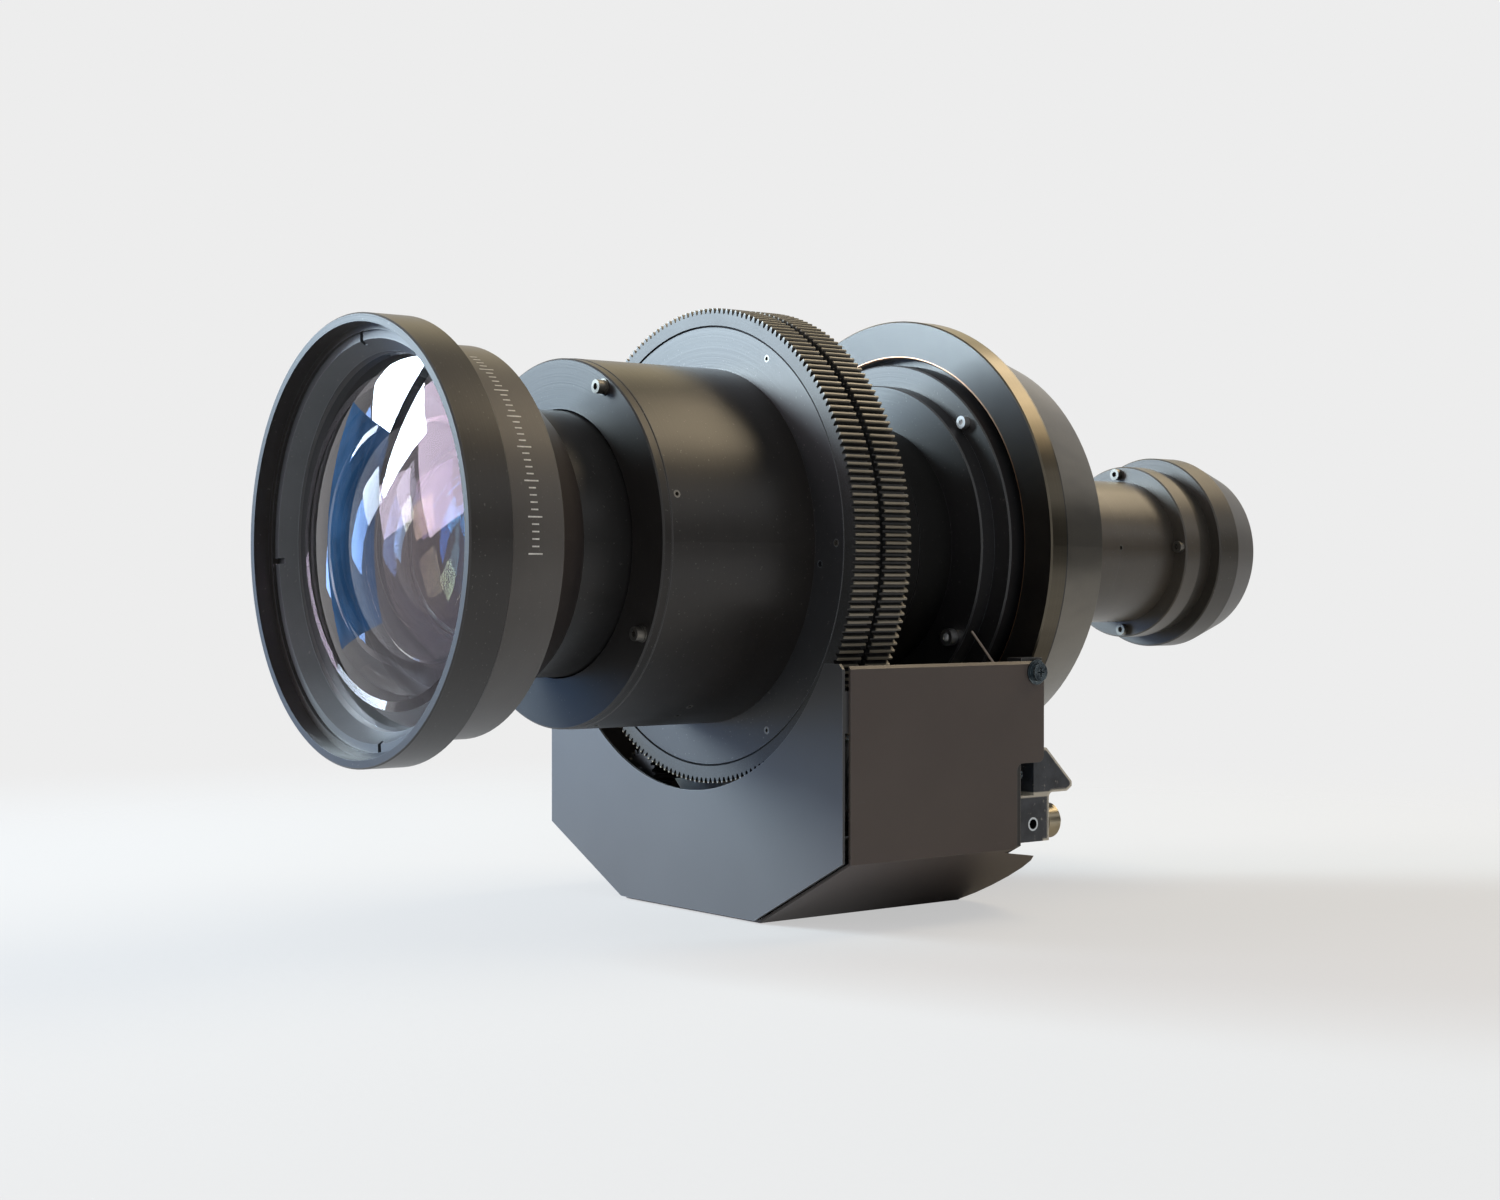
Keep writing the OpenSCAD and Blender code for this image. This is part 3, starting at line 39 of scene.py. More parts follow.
class Wire:
    def __init__(self, finish, socket):
        self.finish = finish
        self.socket = socket

    def calc(self, operation, *values):
        return self.finish.add("ShaderNodeMath", {"operation": operation}, dict(enumerate(values)))

    def __add__(self, other):
        return self.calc("ADD", self, other)

    def __radd__(self, other):
        return self.calc("ADD", other, self)

    def __sub__(self, other):
        return self.calc("SUBTRACT", self, other)

    def __rsub__(self, other):
        return self.calc("SUBTRACT", other, self)

    def __mul__(self, other):
        return self.calc("MULTIPLY", self, other)

    def __rmul__(self, other):
        return self.calc("MULTIPLY", other, self)

    def __truediv__(self, other):
        return self.calc("DIVIDE", self, other)

    def root(self):
        return self.calc("SQRT", self)

    def size(self):
        return self.calc("ABSOLUTE", self)

    def clipped(self):
        return self.calc("MINIMUM", self.calc("MAXIMUM", self, 0.0), 1.0)

    def rise(self, low, high):      # 0 below low, 1 above high, smooth between
        return self.finish.add("ShaderNodeMapRange", {"interpolation_type": "SMOOTHSTEP"},
                               {"Value": self, "From Min": low, "From Max": high})

    def near(self, centre, width):  # 1 at centre, 0 beyond width
        return 1 - (self - centre).size().rise(width * 0.5, width)


class Finish:
    def __init__(self, name):
        self.material = bpy.data.materials.new(name)
        self.material.use_nodes = True
        self.tree = self.material.node_tree
        self.tree.nodes.clear()
        self.out = self.tree.nodes.new("ShaderNodeOutputMaterial")
        self.places = {}

    def add(self, kind, settings=None, sockets=None, out=0):
        node = self.tree.nodes.new(kind)
        for key, value in (settings or {}).items():
            setattr(node, key, value)
        for key, value in (sockets or {}).items():
            target = node.inputs[key]
            if isinstance(value, Wire):
                self.tree.links.new(value.socket, target)
            elif target.type == "RGBA" and len(value) == 3:
                target.default_value = (*value, 1)
            else:
                target.default_value = value
        return Wire(self, node.outputs[out])

    # Millimetres in the part's own frame: x, station, z, radius
    def place(self):
        if not self.places:
            spot = self.add("ShaderNodeTexCoord", out="Object")
            split = [self.add("ShaderNodeSeparateXYZ", None, {0: spot}, out=i) * perMetre
                     for i in range(3)]
            x, y, z = split
            radius = (x * x + z * z).root()
            self.places = {"spot": spot, "x": x, "y": y, "z": z, "r": radius}
        return self.places

    def facing(self, axis):     # how far a face looks along x (0) or along the lens (1)
        normal = self.add("ShaderNodeNewGeometry", out="True Normal")
        return self.add("ShaderNodeSeparateXYZ", None, {0: normal}, out=axis)

    def vector(self, x, y, z):
        return self.add("ShaderNodeCombineXYZ", None, {0: x, 1: y, 2: z})

    def noise(self, vector, scale, detail=2.0, roughness=0.5):
        return self.add("ShaderNodeTexNoise", None, {"Vector": vector, "Scale": scale, "Detail": detail,
                                                     "Roughness": roughness})

    def mix(self, factor, first, second):
        return self.add("ShaderNodeMix", {"data_type": "RGBA"}, {0: factor, 6: first, 7: second}, out=2)

    def edges(self, width, low=0.02, high=0.2, samples=4):      # 1 on sharp edges
        bevel = self.add("ShaderNodeBevel", {"samples": samples}, {"Radius": width / perMetre})
        normal = self.add("ShaderNodeNewGeometry", out="Normal")
        same = self.add("ShaderNodeVectorMath", {"operation": "DOT_PRODUCT"}, {0: bevel, 1: normal},
                        out="Value")
        return (1 - same).rise(low, high)

    def shade(self, colour, rough, height=None, bump=0.3, grain=0.05, **constants):
        sockets = {"Base Color": colour, "Roughness": rough}
        if height is not None:
            sockets["Normal"] = self.add("ShaderNodeBump", None,
                                         {"Height": height, "Strength": bump, "Distance": grain / perMetre})
        for key, value in constants.items():
            sockets[key.replace("_", " ")] = value
        self.finishWith(self.add("ShaderNodeBsdfPrincipled", None, sockets))

    def finishWith(self, surface):
        self.tree.links.new(surface.socket, self.out.inputs["Surface"])


def dress(finish, *names):
    for name in names:
        thing = nodes[name]
        thing.data.materials.clear()
        thing.data.materials.append(finish.material)


# Turned and anodised metal: fine lathe lines round the axis, mottling, dust, and bright edges that are
# partly wear and partly a painted highlight on the chamfers
turnedFinish = {
    "lineScale": 1.6,       # lathe lines per millimetre
    "lineDepth": 0.12,
    "mottleScale": 22.0,
    "speckScale": 900.0,
    "speckFrom": 0.70,      # of the noise's height
    "speckTo": 0.78,
    "edgeWidth": 0.35,
    "wear": 0.6,            # how unevenly the edges are lightened, by wear and by painted highlight
    "bump": 0.25,
    "dust": (0.25, 0.24, 0.22),
    "roundScale": 0.6,
}


def turned(name, dark, light, roughLow, roughHigh, edge=(0.16, 0.16, 0.17), edgeShare=0.7,
           specular=0.5, dust=0.25):
    t = turnedFinish
    f = Finish(name)
    p = f.place()
    r = p["r"]
    wrap = f.vector(p["x"] / (r + 1.0) * t["roundScale"], (p["y"] + r) * t["lineScale"],
                    p["z"] / (r + 1.0) * t["roundScale"])
    lines = f.noise(wrap, 1.0, 3.0, 0.6)
    mottle = f.noise(p["spot"], t["mottleScale"], 4.0, 0.6)
    specks = f.noise(p["spot"], t["speckScale"], 1.0).rise(t["speckFrom"], t["speckTo"]) * dust
    # Lighter edges: partly wear, partly a painted highlight on the chamfers
    paleMarks = (f.edges(t["edgeWidth"]) * (0.4 + mottle * t["wear"])).clipped()
    tone = (mottle.rise(0.3, 0.7) * 0.7 + lines * 0.3).clipped()
    base = f.mix(tone, dark, light)
    dusted = f.mix(specks, base, t["dust"])
    colour = f.mix(paleMarks * edgeShare, dusted, edge)
    rough = roughLow + (mottle * 0.5 + lines * 0.5) * (roughHigh - roughLow) + specks * 0.2
    f.shade(colour, rough, lines + specks * 0.4, t["bump"], t["lineDepth"], Specular_IOR_Level=specular)
    return f


# Coated sheet: a fine powdery skin with faint scuffs
sheetFinish = {
    "skinScale": 2600.0,
    "mottleScale": 9.0,
    "scuffScale": 160.0,
    "scuffFrom": 0.62,
    "scuffTo": 0.72,
    "scuff": (0.09, 0.09, 0.09),
    "edgeWidth": 0.5,
    "edgeShare": 0.7,
}


def sheet(name, dark, light, edge, roughLow, roughHigh, specular=0.5):
    s = sheetFinish
    f = Finish(name)
    p = f.place()
    skin = f.noise(p["spot"], s["skinScale"], 2.0, 0.6)
    mottle = f.noise(p["spot"], s["mottleScale"], 4.0, 0.55)
    stretched = f.vector(p["x"] * 0.01, p["y"] * 0.001, p["z"] * 0.006)
    scuffs = f.noise(stretched, s["scuffScale"], 6.0, 0.7).rise(s["scuffFrom"], s["scuffTo"])
    paleMarks = (f.edges(s["edgeWidth"]) * (0.5 + mottle)).clipped()
    base = f.mix(mottle.rise(0.3, 0.7), dark, light)
    scuffed = f.mix(scuffs * 0.25, base, s["scuff"])
    colour = f.mix(paleMarks * s["edgeShare"], scuffed, edge)
    rough = roughLow + mottle * (roughHigh - roughLow) - scuffs * 0.05
    f.shade(colour, rough, skin, 0.12, 0.05, Specular_IOR_Level=specular)
    return f


# Bare and plated metal
bareFinish = {
    "edgeWidth": 0.25,
    "edgeShare": 0.6,
    "edgeLift": 1.5,        # how much lighter than the metal its edges are, if no edge colour is given
    "grainTimes": 30,       # the grain is this much finer than the clouds
    "cloudRough": 0.15,
    "grainRough": 0.08,
    "grainDepth": 0.05,
}


def bare(name, dark, light, rough, scale=60.0, metallic=1.0, bump=0.15, edge=None):
    b = bareFinish
    f = Finish(name)
    p = f.place()
    cloud = f.noise(p["spot"], scale, 4.0, 0.6)
    grain = f.noise(p["spot"], scale * b["grainTimes"], 2.0)
    paleMarks = (f.edges(b["edgeWidth"]) * (0.4 + cloud)).clipped()
    base = f.mix(cloud.rise(0.3, 0.7), dark, light)
    colour = f.mix(paleMarks * b["edgeShare"], base, edge or tuple(min(1.0, c * b["edgeLift"]) for c in light))
    f.shade(colour, rough + cloud * b["cloudRough"] + grain * b["grainRough"], grain + cloud, bump,
            b["grainDepth"], Metallic=metallic)
    return f


print("finishes for the turned parts")
blackBarrel = turned("black_barrel", (0.010, 0.0085, 0.008), (0.018, 0.0155, 0.014), 0.32, 0.42)
blackHood = turned("black_hood", (0.013, 0.011, 0.010), (0.022, 0.019, 0.017), 0.32, 0.42,
                   edge=(0.14, 0.16, 0.18))
nameBlack = turned("black_name_ring", (0.065, 0.058, 0.053), (0.088, 0.079, 0.072), 0.38, 0.48,
                   edge=(0.14, 0.16, 0.18))
cellBlack = turned("black_cell", (0.022, 0.018, 0.017), (0.034, 0.028, 0.027), 0.34, 0.44,
                   edge=(0.14, 0.16, 0.18))
plateBlack = turned("black_plate", (0.010, 0.0085, 0.008), (0.018, 0.0155, 0.014), 0.34, 0.44,
                    specular=0.4)
neckBlack = turned("black_neck", (0.005, 0.0045, 0.0045), (0.010, 0.009, 0.009), 0.36, 0.46)
blackDisc = turned("black_disc", (0.009, 0.009, 0.010), (0.015, 0.015, 0.017), 0.38, 0.50,
                   edge=(0.35, 0.4, 0.45), edgeShare=0.9, specular=0.6)
retainerGrey = turned("retainer_grey", (0.036, 0.040, 0.044), (0.062, 0.066, 0.072), 0.35, 0.5,
                      edge=(0.2, 0.22, 0.24))
innerBlack = turned("inner_black", (0.003, 0.003, 0.003), (0.006, 0.006, 0.006), 0.45, 0.6, specular=0.25,
                    dust=0.1)
rearMetal = turned("rear_metal", (0.060, 0.052, 0.043), (0.090, 0.079, 0.066), 0.30, 0.42)
capMetal = turned("rear_cap_metal", (0.035, 0.031, 0.026), (0.055, 0.049, 0.041), 0.34, 0.46)

dress(blackHood, "front_hood")
dress(cellBlack, "front_cell")
dress(nameBlack, "name_ring")
dress(neckBlack, "neck_tube")
dress(blackBarrel, "main_barrel")
dress(plateBlack, "barrel_front_plate")
dress(blackDisc, "cover_disc", "hub_disc", "hub_ring")
dress(retainerGrey, "glass_retaining_ring", "zoom_a_retainer", "zoom_b_retainer", "rear_inner_retainer",
      "rear_retaining_ring")
dress(innerBlack, "front_spacer", "zoom_a_cell", "zoom_b_cell", "divider_ring", "core_cover")
dress(rearMetal, "rear_tube", "rear_collar")
dress(capMetal, "rear_cap")


# Flange: black coat on its faces, warm brushed metal round its sides, a copper line at its bore, and painted
# shade in the groove round its sides
flange = {
    "faceDark": (0.008, 0.007, 0.0065),
    "faceLight": (0.018, 0.016, 0.014),
    "sideDark": (0.055, 0.048, 0.036),
    "sideLight": (0.120, 0.106, 0.082),
    "copper": (0.42, 0.25, 0.16),
    "copperRadius": 85.9,
    "copperTo": -9.0,       # the copper line ends at this station
    "sideRadius": 87.0,     # the warm sides lie outside this radius
    "grooveFrom": -0.7,
    "grooveTo": 2.0,
    "groove": (0.004, 0.004, 0.004),
    "edge": (0.3, 0.27, 0.22),
    "edgeWidth": 0.4,
    "lineScale": 2.4,
    "mottleScale": 22.0,
}


def flangeFinish():
    f = Finish("flange_metal")
    p = f.place()
    r = p["r"]
    side = 1 - f.facing(1).size().rise(0.75, 0.9)
    outside = side * r.rise(flange["sideRadius"] - 0.5, flange["sideRadius"] + 0.5)
    wrap = f.vector(p["x"] / (r + 1.0) * 0.5, (p["y"] + r) * flange["lineScale"], p["z"] / (r + 1.0) * 0.5)
    lines = f.noise(wrap, 1.0, 4.0, 0.7)
    mottle = f.noise(p["spot"], flange["mottleScale"], 4.0, 0.6)
    patches = f.vector(p["x"] * 0.02, p["y"] * 0.001, p["z"] * 0.02)
    streaks = f.noise(patches, 2.2, 3.0, 0.6).rise(0.3, 0.7)
    # Painted shade: the groove round the rim is coloured near black and not metallic
    pastFront = p["y"].rise(flange["grooveFrom"] - 0.1, flange["grooveFrom"])
    groove = pastFront * (1 - p["y"].rise(flange["grooveTo"] - 0.1, flange["grooveTo"]))
    beforeSeat = 1 - p["y"].rise(flange["copperTo"], flange["copperTo"] + 0.2)
    copper = r.near(flange["copperRadius"], 0.8) * beforeSeat
    paleMarks = (f.edges(flange["edgeWidth"]) * (0.4 + mottle)).clipped()
    face = f.mix(mottle.rise(0.3, 0.7), flange["faceDark"], flange["faceLight"])
    brushed = f.mix((lines * 0.5 + streaks * 0.5).clipped(), flange["sideDark"], flange["sideLight"])
    colour = f.mix(outside, face, brushed)
    colour = f.mix(groove * outside, colour, flange["groove"])
    colour = f.mix(paleMarks * 0.6, colour, flange["edge"])
    colour = f.mix(copper, colour, flange["copper"])
    metal = (outside * (1 - groove) + copper).clipped()
    f.shade(colour, 0.23 + mottle * 0.06 + lines * 0.08, lines, 0.2, 0.1, Metallic=metal,
            Specular_IOR_Level=0.5)
    return f


dress(flangeFinish(), "mount_flange")


# Toothed rings: painted shade in the gaps between the teeth, olive tips that are partly wear and partly a
# painted highlight, a granular front face
gearFinish = {
    "tip": 99.55,           # radii in millimetres
    "tipWidth": 0.35,
    "root": 97.9,
    "rootShade": (0.006, 0.006, 0.006),
    "gritColour": (0.07, 0.08, 0.09),
    "gritScale": 1500.0,
    "mottleScale": 45.0,
}


def geared(name, dark, light, tipWearAndHighlight):
    g = gearFinish
    f = Finish(name)
    p = f.place()
    mottle = f.noise(p["spot"], g["mottleScale"], 4.0, 0.6)
    grit = f.noise(p["spot"], g["gritScale"], 2.0, 0.6)
    # Olive tips: partly wear, partly a painted highlight
    tip = p["r"].rise(g["tip"] - g["tipWidth"], g["tip"]) * (0.5 + mottle)
    # Painted shade: darker towards the roots of the teeth
    gapShade = 1 - p["r"].rise(g["root"], g["tip"])
    base = f.mix(mottle.rise(0.3, 0.7), dark, light)
    gritty = f.mix(grit.rise(0.5, 0.7) * 0.5, base, g["gritColour"])
    shaded = f.mix(gapShade * 0.5, gritty, g["rootShade"])
    colour = f.mix(tip.clipped(), shaded, tipWearAndHighlight)
    f.shade(colour, 0.34 + mottle * 0.12 + gapShade * 0.1, grit, 0.35, 0.08, Specular_IOR_Level=0.6)
    return f


gearRing = geared("gear_ring", (0.007, 0.007, 0.007), (0.014, 0.013, 0.012), (0.22, 0.195, 0.15))
dress(gearRing, "focus_gear_ring", "zoom_gear_ring")

print("finishes for the housing and the drives")
sheetBlack = sheet("sheet_front", (0.016, 0.016, 0.018), (0.022, 0.023, 0.025), (0.16, 0.17, 0.18),
                   0.40, 0.48, specular=0.9)
coverBlack = sheet("sheet_cover", (0.068, 0.053, 0.048), (0.084, 0.067, 0.060), (0.16, 0.15, 0.135),
                   0.42, 0.5)
dress(sheetBlack, "housing_front")
dress(coverBlack, "housing_cover")
chassisBlack = sheet("chassis_black", (0.018, 0.018, 0.019), (0.03, 0.03, 0.031), (0.3, 0.3, 0.29), 0.4, 0.5)
dress(chassisBlack, "drive_chassis")

steelScrew = bare("steel_screw", (0.3, 0.29, 0.27), (0.5, 0.49, 0.46), 0.22)
housingScrew = bare("housing_screw", (0.03, 0.04, 0.05), (0.17, 0.21, 0.23), 0.12, 160.0, bump=0.5,
                    edge=(0.6, 0.64, 0.64))
darkScrew = bare("dark_screw", (0.11, 0.105, 0.095), (0.2, 0.19, 0.17), 0.26, metallic=0.9,
                 edge=(0.3, 0.29, 0.27))
brightScrew = bare("bright_screw", (0.55, 0.56, 0.57), (0.75, 0.76, 0.77), 0.2)
bareAluminium = bare("bare_aluminium", (0.5, 0.5, 0.51), (0.65, 0.65, 0.66), 0.32)
motorSteel = bare("motor_steel", (0.42, 0.42, 0.43), (0.55, 0.55, 0.56), 0.28)
darkSteel = bare("dark_steel", (0.06, 0.06, 0.065), (0.11, 0.11, 0.115), 0.34)
bronzePin = bare("bronze_pin", (0.26, 0.23, 0.17), (0.44, 0.39, 0.29), 0.2)
brassGear = bare("brass_gear", (0.5, 0.36, 0.14), (0.66, 0.5, 0.24), 0.28)
dress(darkScrew, "barrel_cap_screws", "rear_collar_screws", "barrel_grub_screws", "cover_disc_screws")
dress(steelScrew, "focus_ring_screws", "zoom_ring_screws")
dress(housingScrew, "housing_screws")
dress(brightScrew, "hub_screws")
dress(bareAluminium, "core_tube", "focus_cam_sleeve", "zoom_cam_sleeve", "motor_plate", "chassis_standoffs",
      "motor_pillars")
dress(motorSteel, "focus_motor", "zoom_motor")
dress(bronzePin, "guide_pin")
dress(brassGear, "focus_followers", "zoom_a_followers", "zoom_b_followers")
dress(darkSteel, "focus_pinion", "zoom_pinion")


# Bracket: dark coated cheeks, cream machined edges, a nickel ring in the side hole and painted shade inside
# the hole
bracket = {
    "cheekDark": (0.016, 0.020, 0.028),
    "cheekLight": (0.045, 0.052, 0.066),
    "cream": (0.66, 0.63, 0.55),
    "nickel": (0.62, 0.68, 0.72),
    "holeY": -19.5,
    "holeZ": -115.4,
    "holeRadius": 2.0,
    "ringWidth": 0.75,
    "shelfZ": -103.3,
    "shelfWidth": 1.3,
    "creamFrom": -14.5,     # station behind which the edges are cream
    "creamWidth": 2.6,
    "bore": (0.008, 0.009, 0.011),
    "mottleScale": 120.0,
    "gritScale": 1800.0,
    "chipScale": 420.0,
    "chipFrom": 0.62,
    "chipTo": 0.72,
}


def bracketFinish():
    f = Finish("bracket_black")
    p = f.place()
    mottle = f.noise(p["spot"], bracket["mottleScale"], 4.0, 0.6)
    grit = f.noise(p["spot"], bracket["gritScale"], 2.0, 0.6)
    chips = f.noise(p["spot"], bracket["chipScale"], 3.0, 0.6).rise(bracket["chipFrom"], bracket["chipTo"])
    cheek = f.facing(0).size().rise(0.6, 0.8)
    notFront = 1 - (0 - f.facing(1)).rise(0.4, 0.6)
    dy, dz = p["y"] - bracket["holeY"], p["z"] - bracket["holeZ"]
    fromHole = (dy * dy + dz * dz).root()
    # Painted shade: the inside of the hole is near black
    bore = 1 - fromHole.rise(bracket["holeRadius"] + 0.02, bracket["holeRadius"] + 0.12)
    ringEnd = bracket["holeRadius"] + bracket["ringWidth"]
    ring = (1 - fromHole.rise(ringEnd, ringEnd + 0.15)) * cheek
    behind = p["y"].rise(bracket["creamFrom"], bracket["creamFrom"] + 1.5)
    rim = f.edges(bracket["creamWidth"], 0.006, 0.05, samples=8) * behind
    shelf = p["z"].near(bracket["shelfZ"], bracket["shelfWidth"]) * 0.8
    bareFaces = (1 - cheek) * notFront * 0.85
    paleMarks = (rim * (0.8 + mottle * 0.4) + shelf + bareFaces + chips * 0.25).clipped()
    base = f.mix(mottle.rise(0.3, 0.7), bracket["cheekDark"], bracket["cheekLight"])
    colour = f.mix(paleMarks, base, bracket["cream"])
    colour = f.mix(ring, colour, bracket["nickel"])
    colour = f.mix(bore, colour, bracket["bore"])
    f.shade(colour, 0.28 + mottle * 0.15, grit + chips, 0.25, 0.06,
            Metallic=(ring * (1 - bore)).clipped())
    return f


dress(bracketFinish(), "guide_bracket")


# Moulded connector and insulated leads
plasticFinish = {"grainScale": 2400.0, "cloudRough": 0.1, "bump": 0.15, "grainDepth": 0.03}


def plastic(name, dark, light, rough, scale):
    f = Finish(name)
    p = f.place()
    cloud = f.noise(p["spot"], scale, 3.0)
    grain = f.noise(p["spot"], plasticFinish["grainScale"], 2.0)
    colour = f.mix(cloud.rise(0.3, 0.7), dark, light)
    f.shade(colour, rough + cloud * plasticFinish["cloudRough"], grain, plasticFinish["bump"],
            plasticFinish["grainDepth"])
    return f


dress(plastic("connector_black", (0.015, 0.015, 0.016), (0.03, 0.03, 0.032), 0.42, 90.0), "rear_connector")
dress(plastic("lead_pale", (0.44, 0.36, 0.30), (0.62, 0.54, 0.47), 0.4, 60.0), "motor_leads")


# Coated glass: clear, with a faint uneven haze
haze = {"scale": 14.0, "from": 0.45, "to": 0.75, "rough": 0.015, "tintLift": 1.03}


def glassFinish(name, tint, ior, coat, film, filmIndex):
    f = Finish(name)
    p = f.place()
    cloud = f.noise(p["spot"], haze["scale"], 3.0)
    rough = cloud.rise(haze["from"], haze["to"]) * haze["rough"]
    colour = f.mix(cloud.rise(0.3, 0.7), tint, tuple(min(1.0, c * haze["tintLift"]) for c in tint))
    f.shade(colour, rough, Transmission_Weight=1.0, IOR=ior, Specular_Tint=(*coat, 1),
            Thin_Film_Thickness=film, Thin_Film_IOR=filmIndex)
    return f


# name, tint, index, colour of its reflections, film in nanometres and the film's index
frontGlass = glassFinish("front_glass", (0.95, 0.96, 1.0), 1.52, (0.94, 0.84, 1.0), 0.0, 1.38)
secondGlass = glassFinish("second_glass", (0.90, 0.95, 1.0), 1.6, (1.0, 0.95, 1.0), 112.0, 1.38)
thirdGlass = glassFinish("third_glass", (0.92, 1.0, 0.97), 1.6, (0.85, 1.0, 0.92), 140.0, 1.38)
dress(frontGlass, "front_element", "rear_element")
dress(secondGlass, "second_element", "zoom_a_element")
dress(thirdGlass, "third_element", "zoom_b_element", "rear_inner_element")


def addMesh(name, verts, faces, material):
    mesh = bpy.data.meshes.new(name)
    mesh.from_pydata(verts, [], faces)
    mesh.update()
    thing = bpy.data.objects.new(name, mesh)
    bpy.context.scene.collection.objects.link(thing)
    mesh.materials.append(material)
    return thing


print("division ticks on the name ring")
ticks = {
    "station": -247.2,      # middle of the marks, along the axis
    "radius": 76.5,
    "first": -4,            # degrees from +X towards +Z
    "last": 64,
    "step": 2,
    "short": 3.0,
    "long": 6.0,
    "width": 0.55,
    "stand": 0.05,
    "sink": 0.05,
    "longEvery": 5,
    "wearScale": 700.0,
    "paleMarks": (0.62, 0.60, 0.56),
    "fresh": (0.86, 0.84, 0.79),
}


def makeTicks():
    verts, faces = [], []
    for index, angle in enumerate(range(ticks["first"], ticks["last"] + 1, ticks["step"])):
        reach = (ticks["long"] if index % ticks["longEvery"] == 0 else ticks["short"]) / 2
        half = math.degrees(ticks["width"] / 2 / ticks["radius"])
        base = len(verts)
        for radius in (ticks["radius"] - ticks["sink"], ticks["radius"] + ticks["stand"]):
            for turn, shift in ((-half, -reach), (half, -reach), (half, reach), (-half, reach)):
                a = math.radians(angle + turn)
                spot = (radius * math.cos(a), ticks["station"] + shift, radius * math.sin(a))
                verts.append(tuple(value / perMetre for value in spot))
        faces += [[base + k for k in side] for side in
                  ((0, 1, 2, 3), (7, 6, 5, 4), (4, 5, 1, 0), (5, 6, 2, 1), (6, 7, 3, 2), (7, 4, 0, 3))]
    f = Finish("tick_print")
    p = f.place()
    wear = f.noise(p["spot"], ticks["wearScale"], 3.0, 0.6)
    colour = f.mix(wear.rise(0.35, 0.7), ticks["paleMarks"], ticks["fresh"])
    f.shade(colour, 0.5 + wear * 0.1, wear, 0.15, 0.02)
    thing = addMesh("name_ring_ticks", verts, faces, f.material)
    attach(thing, "front_group")


makeTicks()

print("studio")
# Floor, light and camera
studio = {
    "floorZ": -0.1534,
    "floorRadius": 1.6,
    "floorSides": 64,
    "floorMiddle": -42.0,   # station in millimetres
    "fadeFrom": 280.0,      # distance in millimetres over which the floor fades out
    "fadeTo": 900.0,
    "shadowMiddle": 40.0,   # station of the patch without glow under the housing
    "shadowFrom": 70.0,
    "shadowTo": 240.0,
    "floorDark": (0.60, 0.60, 0.60),
    "floorLight": (0.62, 0.62, 0.62),
    "paleGrey": 0.847,
    "floorGlow": 0.6,
    "worldLight": 0.35,
    "sensor": 36.0,
    "lens": 53.70,
    "nearest": 0.02,
    "farthest": 30.0,
    "cameraAt": (0.7556, -0.6839, -0.0170),
    "azimuth": 51.79,
    "pitch": -0.35,
}


def makeFloor():
    f = Finish("floor_pale")
    p = f.place()
    dx, dy = p["x"], p["y"] - studio["floorMiddle"]
    far = (dx * dx + dy * dy).root().rise(studio["fadeFrom"], studio["fadeTo"])
    grain = f.noise(p["spot"], 300.0, 2.0)
    tone = f.mix(grain, studio["floorDark"], studio["floorLight"])
    plain = f.add("ShaderNodeBsdfPrincipled", None, {"Base Color": tone, "Roughness": 0.9,
                                                     "Specular IOR Level": 0.0})
    glow = f.add("ShaderNodeEmission", None, {"Color": (1.0, 1.0, 1.0), "Strength": studio["paleGrey"]})
    path = [f.add("ShaderNodeLightPath", out=name)
            for name in ("Is Camera Ray", "Is Glossy Ray", "Is Transmission Ray")]
    # No glow under the housing, so that the parts above it reflect its shadow
    fromHousing = f.add("ShaderNodeVectorMath", {"operation": "LENGTH"},
                        {0: f.vector(p["x"] * 0.8, p["y"] - studio["shadowMiddle"], 0.0)}, out="Value")
    lighted = fromHousing.rise(studio["shadowFrom"], studio["shadowTo"])
    seen = (path[0] + (path[1] + path[2]).clipped() * lighted).clipped()
    lit = f.add("ShaderNodeMixShader", None, {0: seen * studio["floorGlow"], 1: plain, 2: glow})
    clear = f.add("ShaderNodeBsdfTransparent")
    f.finishWith(f.add("ShaderNodeMixShader", None, {0: far, 1: lit, 2: clear}))
    size, sides = studio["floorRadius"], studio["floorSides"]
    ring = [(size * math.cos(a), size * math.sin(a), studio["floorZ"])
            for a in [math.tau * i / sides for i in range(sides)]]
    floor = addMesh("floor", ring, [list(range(sides))], f.material)


def makeWorld():
    world = bpy.data.worlds.new("pale_room")
    bpy.context.scene.world = world
    world.use_nodes = True
    tree = world.node_tree
    tree.nodes.clear()
    path = tree.nodes.new("ShaderNodeLightPath")
    seen = path.outputs["Is Camera Ray"]
    for other in ("Is Transmission Ray", "Is Glossy Ray"):
        either = tree.nodes.new("ShaderNodeMath")
        either.operation = "MAXIMUM"
        tree.links.new(seen, either.inputs[0])
        tree.links.new(path.outputs[other], either.inputs[1])
        seen = either.outputs[0]
    mix = tree.nodes.new("ShaderNodeMixShader")
    tree.links.new(seen, mix.inputs[0])
    for index, strength in ((1, studio["worldLight"]), (2, studio["paleGrey"])):
        light = tree.nodes.new("ShaderNodeBackground")
        light.inputs["Color"].default_value = (1.0, 1.0, 1.0, 1)
        light.inputs["Strength"].default_value = strength
        tree.links.new(light.outputs[0], mix.inputs[index])
    out = tree.nodes.new("ShaderNodeOutputWorld")
    tree.links.new(mix.outputs[0], out.inputs["Surface"])


